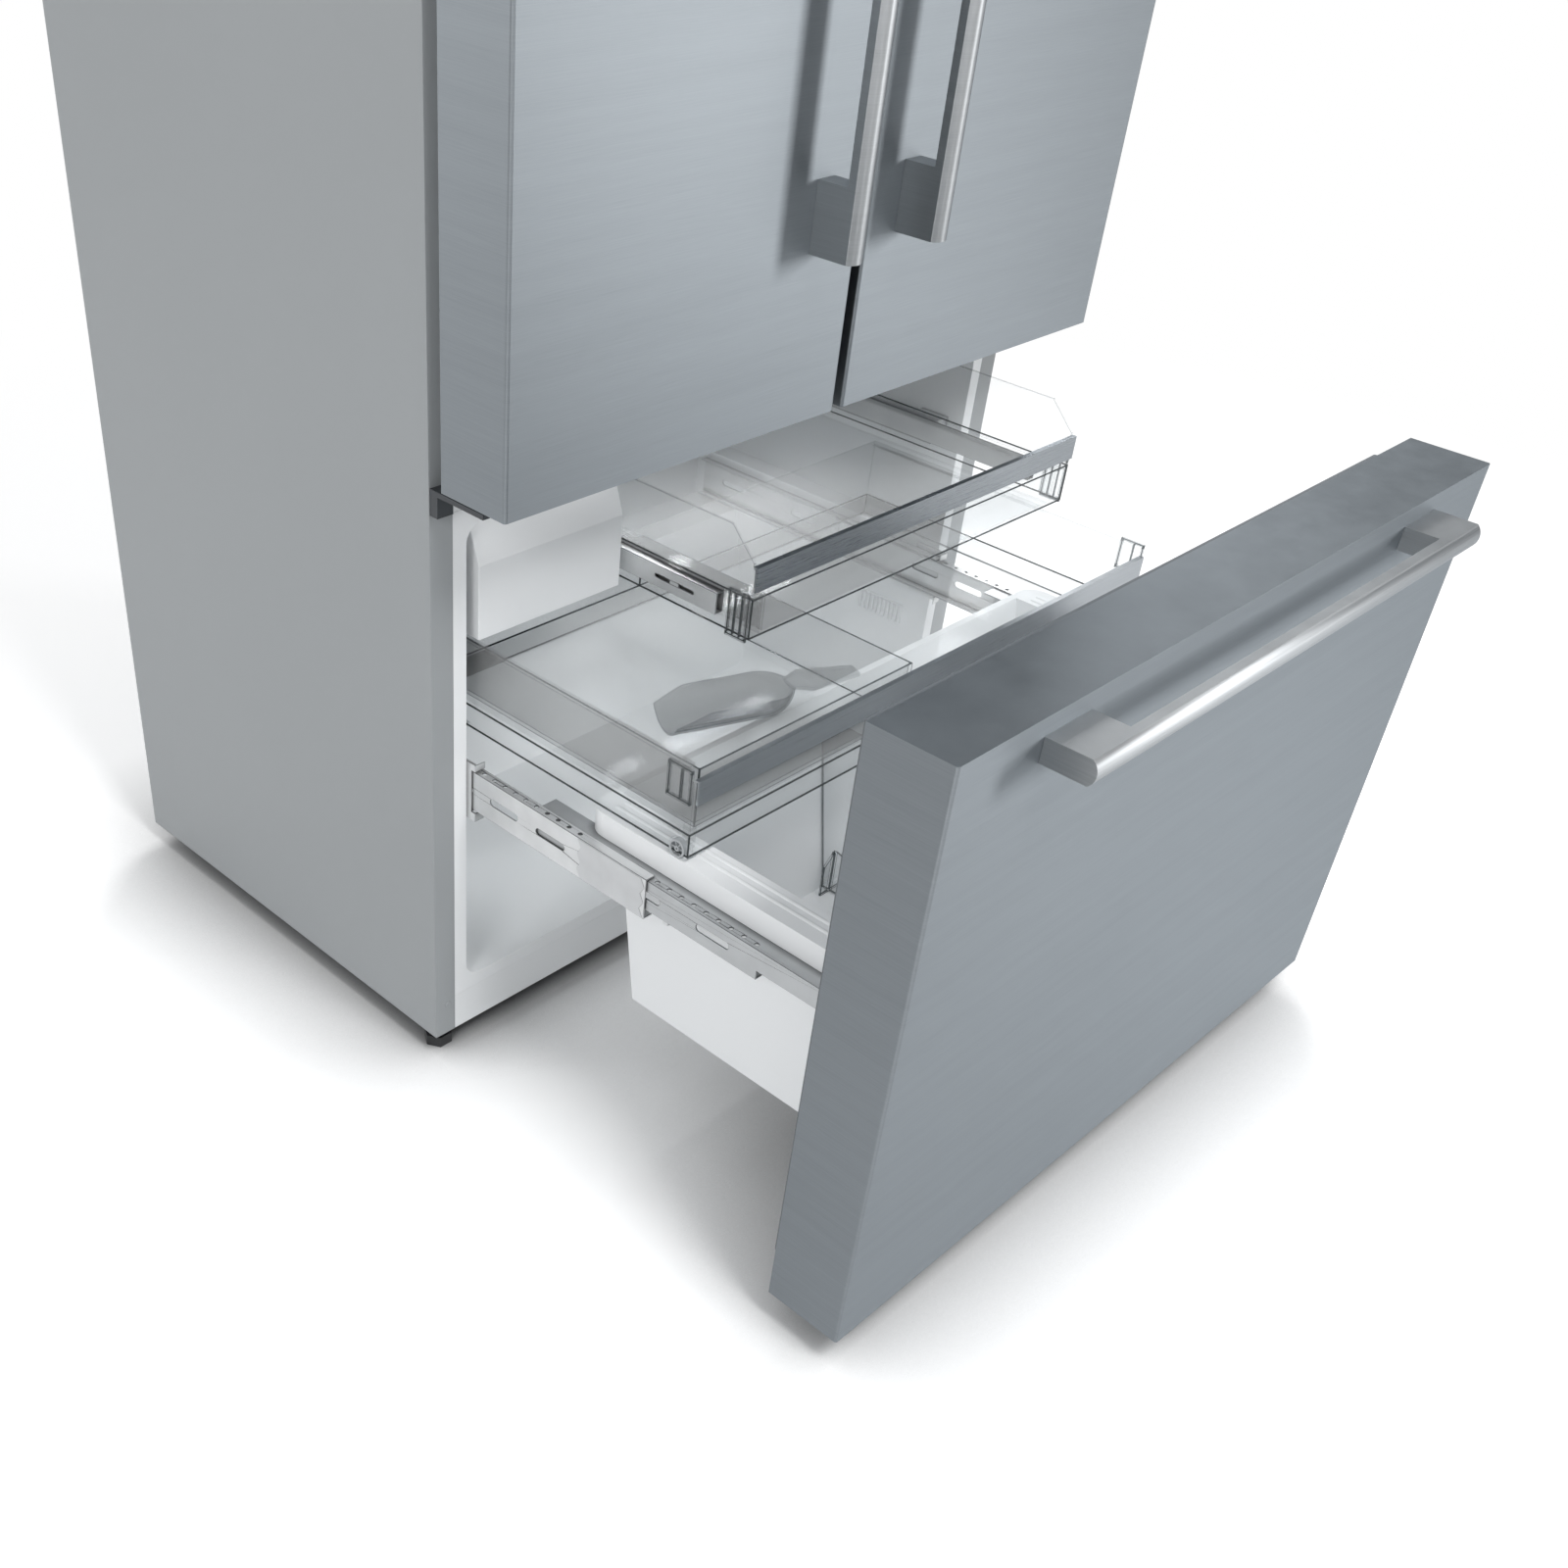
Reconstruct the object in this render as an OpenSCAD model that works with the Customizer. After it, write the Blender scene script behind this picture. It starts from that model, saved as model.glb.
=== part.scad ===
// French-door fridge freezer with a pull-out freezer drawer below, in millimetres.
// X runs to the right, Y to the back, Z up. The model is drawn with its front flange at Y = 0
// and placed so that the origin is under the middle of the whole appliance, at floor level.
// It stands as it is used: doors closed, freezer drawer and both of its trays pulled out.

/* [Cabinet] */
// Width over the painted side panels
cab_w = 905; // [890:5:930]
// Depth from the front flange to the back
cab_d = 585; // [575:5:640]
// Height of the top panel above the floor
cab_top = 1785; // [1760:5:1850]
// Height of the cabinet's bottom edge above the floor
cab_bottom = 28; // [26:1:34]
// Thickness of the painted steel sheet
sheet = 1; // [0.8:0.1:1.2]
// Width of the flange folded in at the front of each side
flange_w = 28.5; // [27:0.5:30]
// Height of the white rail along the bottom of the front
base_rail_h = 50; // [46:1:56]

/* [Compartments] */
// Width of the white liner lip that frames each opening
lip_w = 17; // [15:1:18]
// Thickness of that lip and of the front rails
lip_t = 2.5; // [2:0.5:3]
// Wall of the moulded liners
liner_t = 3; // [2:0.5:3.5]
// Wall and insulation behind both compartments
back_wall = 75; // [72:1:80]
// Corner radius of both compartments
bay_r = 20; // [18:1:22]
// Height of the freezer opening
freezer_h = 549; // [546:1:552]
// Distance between the freezer opening and the fridge opening above it
mullion_h = 80; // [76:1:90]
// Insulation between the fridge compartment and the top panel
top_wall = 65; // [60:1:75]
// Gap between the step in the freezer floor and the slide rails above it
hump_gap = 6; // [5:1:10]
// Insulation between the compressor space and the front of that step
hump_wall = 25; // [20:1:27]
// How far the step leans back
hump_lean = 48; // [44:1:52]

/* [Doors] */
// Thickness of the doors and of the drawer front
door_t = 86; // [80:1:90]
// Gap between the cabinet and the back of a closed door
door_gap = 22; // [21:0.5:23]
// Gap between the two doors
door_split = 14; // [13:0.5:16]
// How far the doors stand past the cabinet's sides
door_over = 3.5; // [2:0.5:5]
// How far the doors reach down over the rail below the fridge opening
door_lap = 28; // [26:0.5:29]
// Gap between the doors and the top of the cabinet's hinge plates
door_head = 10; // [8:1:12]
// Steel skin of doors and drawer front
skin_t = 1.2; // [1:0.1:1.5]
// Edge radius of the skins
edge_r = 3; // [2:0.5:4]
// Distance of a hinge pin from the door's outer side
pin_in = 26; // [25:0.5:27]
// Distance of a hinge pin from the door's back
pin_back = 38; // [36:0.5:39]
// Radius of the hinge pins
pin_r = 4; // [3.5:0.5:4.5]
// Running clearance round a pin or shaft
run_gap = 0.06; // [0.04:0.01:0.08]

/* [Handles] */
// Distance of the drawer handle's ends from the sides of the drawer front
drawer_handle_in = 116; // [96:2:156]
// Height of a door handle's lower end above the door's bottom edge
door_handle_up = 164; // [150:2:180]
// Distance from the top of the door down to its handle
door_handle_down = 115; // [95:5:215]
// Distance of a door handle's middle from the door's inner side
door_handle_in = 58; // [50:1:70]
// Height of the bar
bar_h = 24; // [20:1:28]
// Depth of the bar
bar_d = 15; // [13:1:18]
// Radius of the bar's rounded front
bar_r = 15; // [14:0.5:20]
// How far the bar's front stands out
handle_out = 50; // [46:1:56]
// Length of each end block along the bar
block_l = 66; // [50:1:80]
// Distance from the top of the drawer front to the top of its handle
handle_down = 18; // [14:1:24]

/* [Freezer drawer] */
// How far the drawer front's bottom edge lies above the cabinet's
drawer_up = 8; // [6:1:12]
// Gap between the drawer front and the doors
drawer_split = 12; // [11.5:0.5:13]
// How far the drawer stands open
drawer_out = 492; // [488:1:496]
// Gap between the compartment's side wall and the bin's body
bin_in = 62; // [60:1:67]
// Gap between the compartment's side wall and the bin's rim
rim_in = 23; // [22:0.5:24]
// Gap between the bin's rim and the middle tray
rim_gap = 5; // [5:0.5:6]
// Gap between the freezer's floor and the bin
bin_under = 62; // [60:1:100]
// Wall of the bin
bin_t = 3; // [2:0.5:3.5]
// Distance from the bin's rim down to the bottom of the slide rails
rail_drop = 74; // [73:1:77]
// Height of the slide rails' outer profile
rail_h = 51; // [48:0.5:52]
// Steel of the slide rails
rail_t = 1.5; // [1.2:0.1:1.6]
// Depth of the rail profiles across
rail_w = 12; // [11:0.5:13]
// Clearance between nested rails
rail_gap = 0.4; // [0.3:0.05:0.5]

/* [Middle tray] */
// Gap between the compartment's side wall and the middle tray
mid_in = 25; // [24:0.5:27]
// How far the middle tray stands open
mid_out = 286; // [284:1:288]
// Gap between the middle tray's rim and the upper tray
mid_gap = 14; // [12:1:17]
// Depth of the tray below its rim
mid_deep = 73; // [69:1:75]
// Height of the tray's side walls, which reach below its floor
mid_h = 98; // [97:0.5:99]
// Gap behind the middle tray when it is pushed home
mid_back = 35; // [30:5:50]
// Wall of the clear trays
clear_t = 3; // [2.5:0.5:3.5]
// Radius of the tray's rollers
roller_r = 9.7; // [9.5:0.1:9.7]
// Height of the steel strip on the middle tray
mid_trim_h = 26; // [22:1:30]
// Width of the ice bin that stands in the tray
ice_bin_w = 321; // [291:5:331]

/* [Upper tray] */
// Gap between the ice maker's cover and the upper tray
ice_gap = 16; // [15:0.5:17]
// Gap between the compartment's right wall and the upper tray
up_in = 25; // [24:0.5:26]
// How far the upper tray stands open
up_out = 160; // [156:1:162]
// Gap between the upper tray and the freezer's ceiling
up_head = 14; // [10:1:20]
// Height of its side walls above the ledge that rests on the slides
up_side_h = 70; // [68:1:72]
// Depth of the tray below that ledge
up_deep = 43; // [40:1:45]
// Gap behind the upper tray when it is pushed home
up_back = 45; // [40:5:60]
// Height of the steel strip on the upper tray
up_trim_h = 24; // [20:1:28]
// Height of the tray's front above its ledge
up_front_h = 34; // [30:1:38]

/* [Ice maker] */
// Gap between the compartment's left wall and the ice maker's cover
ice_in = 16; // [15:0.5:18]
// Width of the cover
ice_w = 197; // [190:1:198]
// Height of the cover
ice_h = 126; // [122:1:130]
// Height of the upright part of the cover's front
ice_straight = 79; // [67:1:90]
// How far the cover's front leans back
ice_lean = 16; // [12:1:20]
// Depth of the cover
ice_d = 290; // [250:5:320]

/* [Fridge compartment] */
// Distance of the shelves' front from the front flange
shelf_y0 = 112; // [108:1:120]
// Gap between the shelves and the compartment's back wall
shelf_back = 32; // [30:1:40]
// Height of the shelf frames
frame_h = 14; // [12:1:16]
// Thickness of the shelf glass
glass_t = 4; // [3:0.5:5]
// Width of the frame around the glass
frame_w = 14; // [12:1:18]
// How far the crispers' grips stand back from the shelves' front
crisper_in = 6; // [2:1:12]
// Height of a door shelf
door_bin_h = 85; // [70:1:95]
// Depth of a door shelf
door_bin_d = 92; // [80:1:96]

/* [Cooling] */
// Insulation between the compressor space and the step above it
mach_roof = 48; // [44:1:52]
// Depth of the compressor space
mach_d = 210; // [207:1:213]
// Radius of the compressor's can
comp_r = 76; // [70:1:80]
// Free height above the compressor's can
comp_head = 54; // [44:1:74]
// Depth of the space behind the freezer's back panel
cool_d = 80; // [76:1:82]
// Number of fins on the evaporator
evap_fins = 15; // [9:1:19]
// Number of fins on the condenser
cond_fins = 12; // [8:1:16]

/* [Hidden] */
$fn = 48;

// Overrun of every cut, and the slip fit between pieces that are laid or screwed together
over = 5;
slip = 0.3;

// Cabinet
cab_x = cab_w / 2;
flange_x = cab_x - flange_w;
bay_x = flange_x - lip_w;
bay_d = cab_d - back_wall;
freezer_z0 = cab_bottom + base_rail_h + lip_w;
freezer_z1 = freezer_z0 + freezer_h;
fridge_z0 = freezer_z1 + mullion_h;
fridge_z1 = cab_top - top_wall;
fridge_h = fridge_z1 - fridge_z0;
inner_x = cab_x - sheet;
pan_t = 2;
pan_top = cab_bottom + pan_t;

// Heights inside the freezer, worked out from its ceiling down
up_top = freezer_z1 - up_head;
up_ledge = up_top - up_side_h;
up_z0 = up_ledge - up_deep;
mid_top = up_z0 - mid_gap;
mid_floor = mid_top - mid_deep;
mid_z0 = mid_top - mid_h;
rim_z = mid_z0 - rim_gap;
rail_z0 = rim_z - rail_drop;
hump_z1 = rail_z0 - hump_gap;
mach_top = hump_z1 - mach_roof;

// Places from front to back
mach_y0 = cab_d - mach_d;
mach_mid_y = (mach_y0 + cab_d) / 2;
hump_y = mach_y0 - hump_wall - hump_lean;
cover_y = bay_d - cool_d;
shelf_y1 = bay_d - shelf_back;
crisper_y0 = shelf_y0 + crisper_in;

// Widths inside the freezer, worked out from its side walls
bin_x = bay_x - bin_in;
rim_x = bay_x - rim_in;
mid_x = bay_x - mid_in;
ice_x0 = ice_in - bay_x;
ice_x1 = ice_x0 + ice_w;
up_x0 = ice_x1 + ice_gap;
up_x1 = bay_x - up_in;

// Heights of the shelves above the compartment's floor, and of the door shelves on the door
shelf_shares = [0.1185, 0.282, 0.518, 0.754];
door_shelf_shares = [0.319, 0.547, 0.775];
shelf_up = [for (share = shelf_shares) share * fridge_h];

// Doors
door_x1 = -door_split / 2;
door_x0 = -cab_x - door_over;
door_w = door_x1 - door_x0;
door_y1 = -door_gap;
door_y0 = door_y1 - door_t;
door_z0 = fridge_z0 - door_lap;
door_top = cab_top - door_head;
door_h = door_top - door_z0;
door_handle_l = door_h - door_handle_up - door_handle_down;
pin_x = door_x0 + pin_in;
pin_y = door_y1 - pin_back;
boss_r = 2.2 * pin_r;
boss_h = 24;
door_liner_t = 2.5;
gasket_w = 18;
gasket_in = 2;
dyke_w = 26;
dyke_deep = 20;
dyke_in = 15;
dyke_mid = 32;
dyke_end = 18;
foam_slip = 0.3;

// Drawer front, in its open place
drawer_z0 = cab_bottom + drawer_up;
drawer_top = door_z0 - drawer_split;
front_y1 = -door_gap - drawer_out;
front_y0 = front_y1 - door_t;
front_x = -door_x0;
drawer_handle_l = 2 * (front_x - drawer_handle_in);

// Front to back of the whole appliance, whose middle is the origin
frame_y = (drawer_out + door_gap + door_t + handle_out - cab_d) / 2;

module in_frame() translate([0, frame_y, 0]) children();

// Rectangle with round corners, drawn from circles so that it stays exact
module round_rect(w, h, r) {
    square([w - 2 * r, h], center = true);
    square([w, h - 2 * r], center = true);
    for (sx = [-1, 1], sz = [-1, 1])
        translate([sx * (w / 2 - r), sz * (h / 2 - r)]) circle(r);
}

// Stands a plane shape drawn in X and Z upright, from y0 to y1
module upright(y0, y1) translate([0, y1, 0]) rotate([90, 0, 0]) linear_extrude(y1 - y0) children();

// Runs a plane shape drawn in Y and Z along X, from x0 to x1
module along_x(x0, x1)
    translate([x0, 0, 0]) rotate([90, 0, 90]) linear_extrude(x1 - x0) children();

// Box between two corners
module box(a, b) translate(a) cube(b - a);

// Both sides of the appliance
module both_sides() {
    children();
    mirror([1, 0, 0]) children();
}

// Painted cabinet
module cabinet_wrapper() color("#93979b") difference() {
    box([-cab_x, 0, cab_bottom], [cab_x, cab_d, cab_top]);
    box([-inner_x, sheet, cab_bottom - over], [inner_x, cab_d + over, cab_top - sheet]);
    box([-flange_x, -over, cab_bottom - over], [flange_x, sheet + over, fridge_z1 + lip_w]);
}

module back_panel() color("#a9adb0") {
    box([-inner_x, cab_d - sheet, mach_top - sheet], [inner_x, cab_d, cab_top - sheet]);
    box([-inner_x, mach_y0, mach_top - sheet], [inner_x, cab_d - sheet, mach_top]);
    box([-inner_x, mach_y0, pan_top], [inner_x, mach_y0 + sheet, mach_top - sheet]);
}

// Rollers under the back of the base pan
wheel_r = 20;
wheel_w = 18;
wheel_in = 57.5;
wheel_x = cab_x - wheel_in;
wheel_back = 60;
wheel_y = cab_d - wheel_back;
wheel_gap = 2;
axle_r = 3;
ear_t = 3;
ear_l = 24;

module base_pan() color("#8b8f92") difference() {
    union() {
        box([-inner_x, lip_t, cab_bottom], [inner_x, cab_d - sheet, pan_top]);
        both_sides() for (s = [-1, 1])
            translate([wheel_x + s * (wheel_w / 2 + wheel_gap + ear_t / 2), wheel_y, 0])
                box([-ear_t / 2, -ear_l / 2, wheel_r - 2 * axle_r], [ear_t / 2, ear_l / 2, pan_top]);
    }
    both_sides() translate([wheel_x, wheel_y, 0]) {
        box([-wheel_w / 2 - wheel_gap, -wheel_r - wheel_gap, -over],
            [wheel_w / 2 + wheel_gap, wheel_r + wheel_gap, pan_top + over]);
        translate([-ear_l, 0, wheel_r]) rotate([0, 90, 0]) cylinder(r = axle_r + run_gap, h = 2 * ear_l);
    }
}

module rear_rollers() color("#3a3d40") both_sides() translate([wheel_x, wheel_y, wheel_r])
    rotate([0, 90, 0]) {
        cylinder(r = wheel_r, h = wheel_w, center = true);
        cylinder(r = axle_r, h = wheel_w + 2 * (wheel_gap + ear_t), center = true);
    }

module base_rail() color("#eef0f1")
    box([-flange_x, 0, cab_bottom], [flange_x, lip_t, freezer_z0 - lip_w]);

module mullion_rail() color("#e4e7e9")
    box([-flange_x, 0, freezer_z1 + lip_w], [flange_x, lip_t, fridge_z0 - lip_w]);

// Moulded liners. grow widens the shape by a wall, for the outside of the shell.
module bay_front(z0, z1, grow) translate([0, (z0 + z1) / 2])
    round_rect(2 * (bay_x + grow), z1 - z0 + 2 * grow, bay_r + grow);

module lip(z0, z1) difference() {
    upright(0, lip_t) translate([0, (z0 + z1) / 2])
        square([2 * flange_x, z1 - z0 + 2 * lip_w], center = true);
    upright(-over, lip_t + over) bay_front(z0, z1, 0);
}

module freezer_space(grow, y0) intersection() {
    upright(y0, bay_d + grow) bay_front(freezer_z0, freezer_z1, grow);
    along_x(-cab_x, cab_x) polygon([
        [y0 - over, freezer_z0 - grow],
        [hump_y + grow, freezer_z0 - grow],
        [hump_y + hump_lean + grow, hump_z1 - grow],
        [bay_d + grow, hump_z1 - grow],
        [bay_d + grow, freezer_z1 + grow],
        [y0 - over, freezer_z1 + grow]]);
}

// Ledges on which the middle tray's sides run
ledge_in = 33;
ledge_gap = 1;
ledge_front = 32;
ledge_back = 10;

module freezer_liner() color("#f1f3f4") {
    difference() {
        union() {
            freezer_space(liner_t, 0);
            lip(freezer_z0, freezer_z1);
        }
        freezer_space(0, -over);
    }
    both_sides() box([bay_x - ledge_in, ledge_front, rim_z + ledge_gap],
        [bay_x + liner_t / 2, cover_y - ledge_back, mid_z0 - slip]);
}

// Ribs that carry the shelves, and runners under the deli drawer
shelf_gap = 3.5;
rib_in = 12;
rib_h = 9;
runner_in = 207;
runner_w = 22;
deli_up = 11;
deli_z0 = fridge_z0 + deli_up;

module fridge_liner() color("#f1f3f4") {
    difference() {
        union() {
            upright(0, bay_d + liner_t) bay_front(fridge_z0, fridge_z1, liner_t);
            lip(fridge_z0, fridge_z1);
        }
        upright(-over, bay_d) bay_front(fridge_z0, fridge_z1, 0);
    }
    for (up = shelf_up) both_sides()
        box([bay_x - rib_in, shelf_y0, fridge_z0 + up - rib_h],
            [bay_x + liner_t / 2, shelf_y1, fridge_z0 + up - slip]);
    both_sides() translate([bay_x - runner_in, 0, 0])
        box([0, crisper_y0, fridge_z0 - liner_t / 2], [runner_w, shelf_y1, deli_z0 - slip]);
}

module cabinet_foam() color("#e8dfae") difference() {
    box([-inner_x, lip_t, pan_top], [inner_x, cab_d - sheet, cab_top - sheet]);
    freezer_space(liner_t + foam_slip, -over);
    upright(-over, bay_d + liner_t + foam_slip) bay_front(fridge_z0, fridge_z1, liner_t + foam_slip);
    box([-cab_x, mach_y0, cab_bottom - over], [cab_x, cab_d + over, mach_top]);
}

// Cooling
comp_in = 202.5;
comp_x = comp_in - cab_x;
comp_edge = 34;
comp_base = 4;
grommet_r = 11;
grommet_h = 14;
comp_z0 = pan_top + grommet_h + comp_base;
comp_h = mach_top - comp_z0 - comp_head;
comp_stub_r = 5;
comp_stub_l = 34;

module compressor() color("#2b2d2f") translate([comp_x, mach_mid_y, 0]) {
    translate([0, 0, comp_z0]) rotate_extrude() intersection() {
        translate([0, comp_h / 2]) round_rect(2 * comp_r, comp_h, comp_edge);
        square([comp_r, comp_h]);
    }
    box([-1.2 * comp_r, -comp_r, comp_z0 - comp_base], [1.2 * comp_r, comp_r, comp_z0 + comp_base]);
    for (sx = [-1, 1], sy = [-1, 1])
        translate([sx * comp_r, sy * (comp_r - grommet_r), pan_top]) cylinder(r = grommet_r, h = grommet_h);
    for (s = [-1, 1]) translate([comp_r - comp_stub_r, s * comp_stub_l / 2, comp_z0 + comp_h / 2])
        rotate([0, 90, 0]) cylinder(r = comp_stub_r, h = comp_stub_l);
}

// Condenser block with its fan shroud and motor; the fan turns on the motor's shaft along X
cond_x0 = 40;
cond_pitch = 12;
cond_fin_t = 1;
cond_d = 130;
cond_h = 130;
cond_tube_r = 4;
cond_tubes_share = [0.2, 0.5, 0.8];
cond_z0 = pan_top;
cond_mid_z = cond_z0 + cond_h / 2;
fan_r = 56;
fan_hub_r = 15;
fan_w = 18;
fan_shaft_r = 2.5;
fan_blades = 5;
blade_t = 2;
blade_turn = 35;
shroud_l = 36;
shroud_t = 3;
motor_r = 20;
cond_fan_x = cond_x0 - shroud_l / 2;

module condenser() color("#6d7174") {
    difference() {
        union() {
            for (i = [0:cond_fins - 1])
                translate([cond_x0 + i * cond_pitch, mach_mid_y - cond_d / 2, cond_z0])
                    cube([cond_fin_t, cond_d, cond_h]);
            for (sy = cond_tubes_share, sz = cond_tubes_share)
                translate([cond_x0, mach_mid_y - cond_d / 2 + sy * cond_d, cond_z0 + sz * cond_h])
                    rotate([0, 90, 0]) cylinder(r = cond_tube_r, h = cond_fins * cond_pitch);
            box([cond_x0 - shroud_l, mach_mid_y - cond_d / 2, cond_z0],
                [cond_x0 + cond_fin_t, mach_mid_y + cond_d / 2, cond_z0 + cond_h]);
        }
        translate([cond_x0 - shroud_l - over, mach_mid_y, cond_mid_z]) rotate([0, 90, 0]) {
            cylinder(r = fan_r + shroud_t, h = shroud_l + over - shroud_t);
            difference() {
                cylinder(r = fan_r, h = shroud_l + over);
                cylinder(r = motor_r / 2, h = shroud_l + 2 * over);
                cube([2 * shroud_t, 3 * fan_r, 3 * shroud_l], center = true);
                cube([3 * fan_r, 2 * shroud_t, 3 * shroud_l], center = true);
            }
        }
    }
    translate([cond_x0 - shroud_t, mach_mid_y, cond_mid_z]) rotate([0, -90, 0]) {
        cylinder(r = motor_r / 2, h = shroud_l / 2 - fan_w / 2 - blade_t);
        cylinder(r = fan_shaft_r, h = shroud_l / 2 + fan_w / 2);
    }
}

module fan(r, hub_r, w, shaft_r) difference() {
    union() {
        cylinder(r = hub_r, h = w, center = true);
        for (i = [0:fan_blades - 1]) rotate([0, 0, i * 360 / fan_blades])
            translate([(r + hub_r - blade_t) / 2, 0, 0]) rotate([blade_turn, 0, 0])
                cube([r - hub_r + blade_t, r / 2, blade_t], center = true);
    }
    cylinder(r = shaft_r + run_gap, h = w + 2 * over, center = true);
}

module condenser_fan() color("#222426")
    translate([cond_fan_x - shroud_t / 2, mach_mid_y, cond_mid_z]) rotate([0, 90, 0])
        fan(fan_r - blade_t, fan_hub_r, fan_w / 1.5, fan_shaft_r);

// Cover of the compressor space, with its vents and power inlet
cover_t = 1.5;
cover_in = 2.5;
cover_down = 3;
cover_back = cab_d - cover_in;
cover_top = mach_top - cover_down;
vent_n = 13;
vent_w = 40;
vent_h = 5;
vent_side = 88.5;
vent_pitch = 2 * (cab_x - vent_side) / vent_n;
vent_rows = 5;
vent_up_share = 0.24;
vent_step_share = 0.11;
cover_h = cover_top - pan_top;
inlet_in = 67.5;
inlet_up = 46;
inlet_x = cab_x - inlet_in;
inlet_z = cab_bottom + inlet_up;
inlet_w = 30;
inlet_h = 24;
inlet_d = 26;
inlet_rim = 4;

module rear_cover() color("#8e9295") difference() {
    box([-inner_x + slip, cover_back - cover_t, pan_top + slip], [inner_x - slip, cover_back, cover_top]);
    for (i = [0:vent_n - 1], k = [0:vent_rows - 1])
        translate([(i - (vent_n - 1) / 2) * vent_pitch - vent_w / 2, cover_back - cover_t - over,
                pan_top + (vent_up_share + k * vent_step_share) * cover_h])
            cube([vent_w, cover_t + 2 * over, vent_h]);
    box([inlet_x - inlet_w / 2, cover_back - cover_t - over, inlet_z - inlet_h / 2],
        [inlet_x + inlet_w / 2, cover_back + over, inlet_z + inlet_h / 2]);
}

inlet_pin = 2;
inlet_pitch = 6;

module power_inlet() color("#1d1f20") {
    difference() {
        union() {
            box([inlet_x - inlet_w / 2 + slip, cover_back - inlet_d, inlet_z - inlet_h / 2 + slip],
                [inlet_x + inlet_w / 2 - slip, cover_back, inlet_z + inlet_h / 2 - slip]);
            box([inlet_x - inlet_w / 2 - inlet_rim, cover_back, inlet_z - inlet_h / 2 - inlet_rim],
                [inlet_x + inlet_w / 2 + inlet_rim, cab_d - slip, inlet_z + inlet_h / 2 + inlet_rim]);
        }
        translate([inlet_x, cover_back - inlet_d + inlet_rim, inlet_z])
            box([inlet_rim - inlet_w / 2, 0, inlet_rim - inlet_h / 2],
                [inlet_w / 2 - inlet_rim, inlet_d + over, inlet_h / 2 - inlet_rim]);
    }
    for (i = [-1:1])
        translate([inlet_x + i * inlet_pitch - inlet_pin / 2, cover_back - inlet_d + inlet_rim / 2, inlet_z])
            cube([inlet_pin, inlet_d / 2, 2 * inlet_pin]);
}

// Evaporator behind the freezer's back panel
evap_in = 182;
evap_up = 25;
evap_down = 124;
evap_gap = 12;
evap_x = bay_x - evap_in;
evap_z0 = hump_z1 + evap_up;
evap_z1 = freezer_z1 - evap_down;
evap_y0 = cover_y + evap_gap;
evap_y1 = bay_d - evap_gap;
evap_d = evap_y1 - evap_y0;
evap_h = evap_z1 - evap_z0;
evap_fin_t = 1;
evap_tube_r = 4.5;
evap_rows_share = [0.15, 0.5, 0.85];
evap_cols_share = [0.3, 0.7];

module evaporator() color("#c9cdd0") {
    for (i = [0:evap_fins - 1])
        translate([-evap_x + i * 2 * evap_x / (evap_fins - 1), evap_y0, evap_z0])
            translate([-evap_fin_t / 2, 0, 0]) cube([evap_fin_t, evap_d, evap_h]);
    for (sz = evap_rows_share, sy = evap_cols_share)
        translate([-evap_x - 2 * evap_tube_r, evap_y0 + sy * evap_d, evap_z0 + sz * evap_h])
            rotate([0, 90, 0]) cylinder(r = evap_tube_r, h = 2 * evap_x + 4 * evap_tube_r);
    for (s = [-1, 1]) translate([s * evap_x, 0, 0])
        box([-evap_tube_r, evap_y1 - evap_tube_r, evap_z0], [evap_tube_r, bay_d, evap_z1]);
}

// Freezer back panel with air slots, and the motor that carries the evaporator's fan
panel_t = 3;
fan2_r = 42;
fan2_down = 64;
fan2_z = freezer_z1 - fan2_down;
fan2_shaft_r = 2;
slot_n = 9;
slot_w = 3;
slot_h = 46;
slot_pitch = 9;
slot_group_in = 15;
slot_group_x = evap_x - slot_group_in;
strut_t = 6;
strut_out = 60;
fan2_in = 22;
fan2_y = cover_y + panel_t + fan2_in;
motor2_r = 14;

module evaporator_cover() color("#e9ecee") {
    difference() {
        intersection() {
            upright(cover_y, cover_y + panel_t) bay_front(freezer_z0, freezer_z1, -slip);
            box([-cab_x, cover_y - over, hump_z1 + slip], [cab_x, cover_y + panel_t + over, freezer_z1]);
        }
        for (s = [-1, 1], i = [0:slot_n - 1])
            translate([s * slot_group_x + (i - (slot_n - 1) / 2) * slot_pitch - slot_w / 2,
                    cover_y - over, freezer_z1 - 2 * slot_h])
                cube([slot_w, panel_t + 2 * over, slot_h]);
        translate([0, cover_y - over, fan2_z]) rotate([-90, 0, 0]) difference() {
            cylinder(r = fan2_r, h = panel_t + 2 * over);
            cylinder(r = motor2_r, h = panel_t + 2 * over);
            translate([0, 0, over]) cube([strut_t, 3 * fan2_r, 2 * panel_t + 2 * over], center = true);
            translate([0, 0, over]) cube([3 * fan2_r, strut_t, 2 * panel_t + 2 * over], center = true);
        }
    }
    translate([0, cover_y, fan2_z]) rotate([-90, 0, 0]) {
        cylinder(r = motor2_r, h = fan2_y - cover_y - fan_hub_r / 2 - blade_t);
        cylinder(r = fan2_shaft_r, h = fan2_y - cover_y + fan_hub_r / 2);
    }
    // Foot that holds the panel off the liner's back wall
    both_sides() translate([evap_x + strut_out, 0, 0])
        box([0, cover_y, evap_z1], [strut_t, bay_d, evap_z1 + slot_h]);
}

module evaporator_fan() color("#2b2d2f") translate([0, fan2_y, fan2_z]) rotate([-90, 0, 0])
    fan(fan2_r - blade_t, fan_hub_r, fan_hub_r, fan2_shaft_r);

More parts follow.
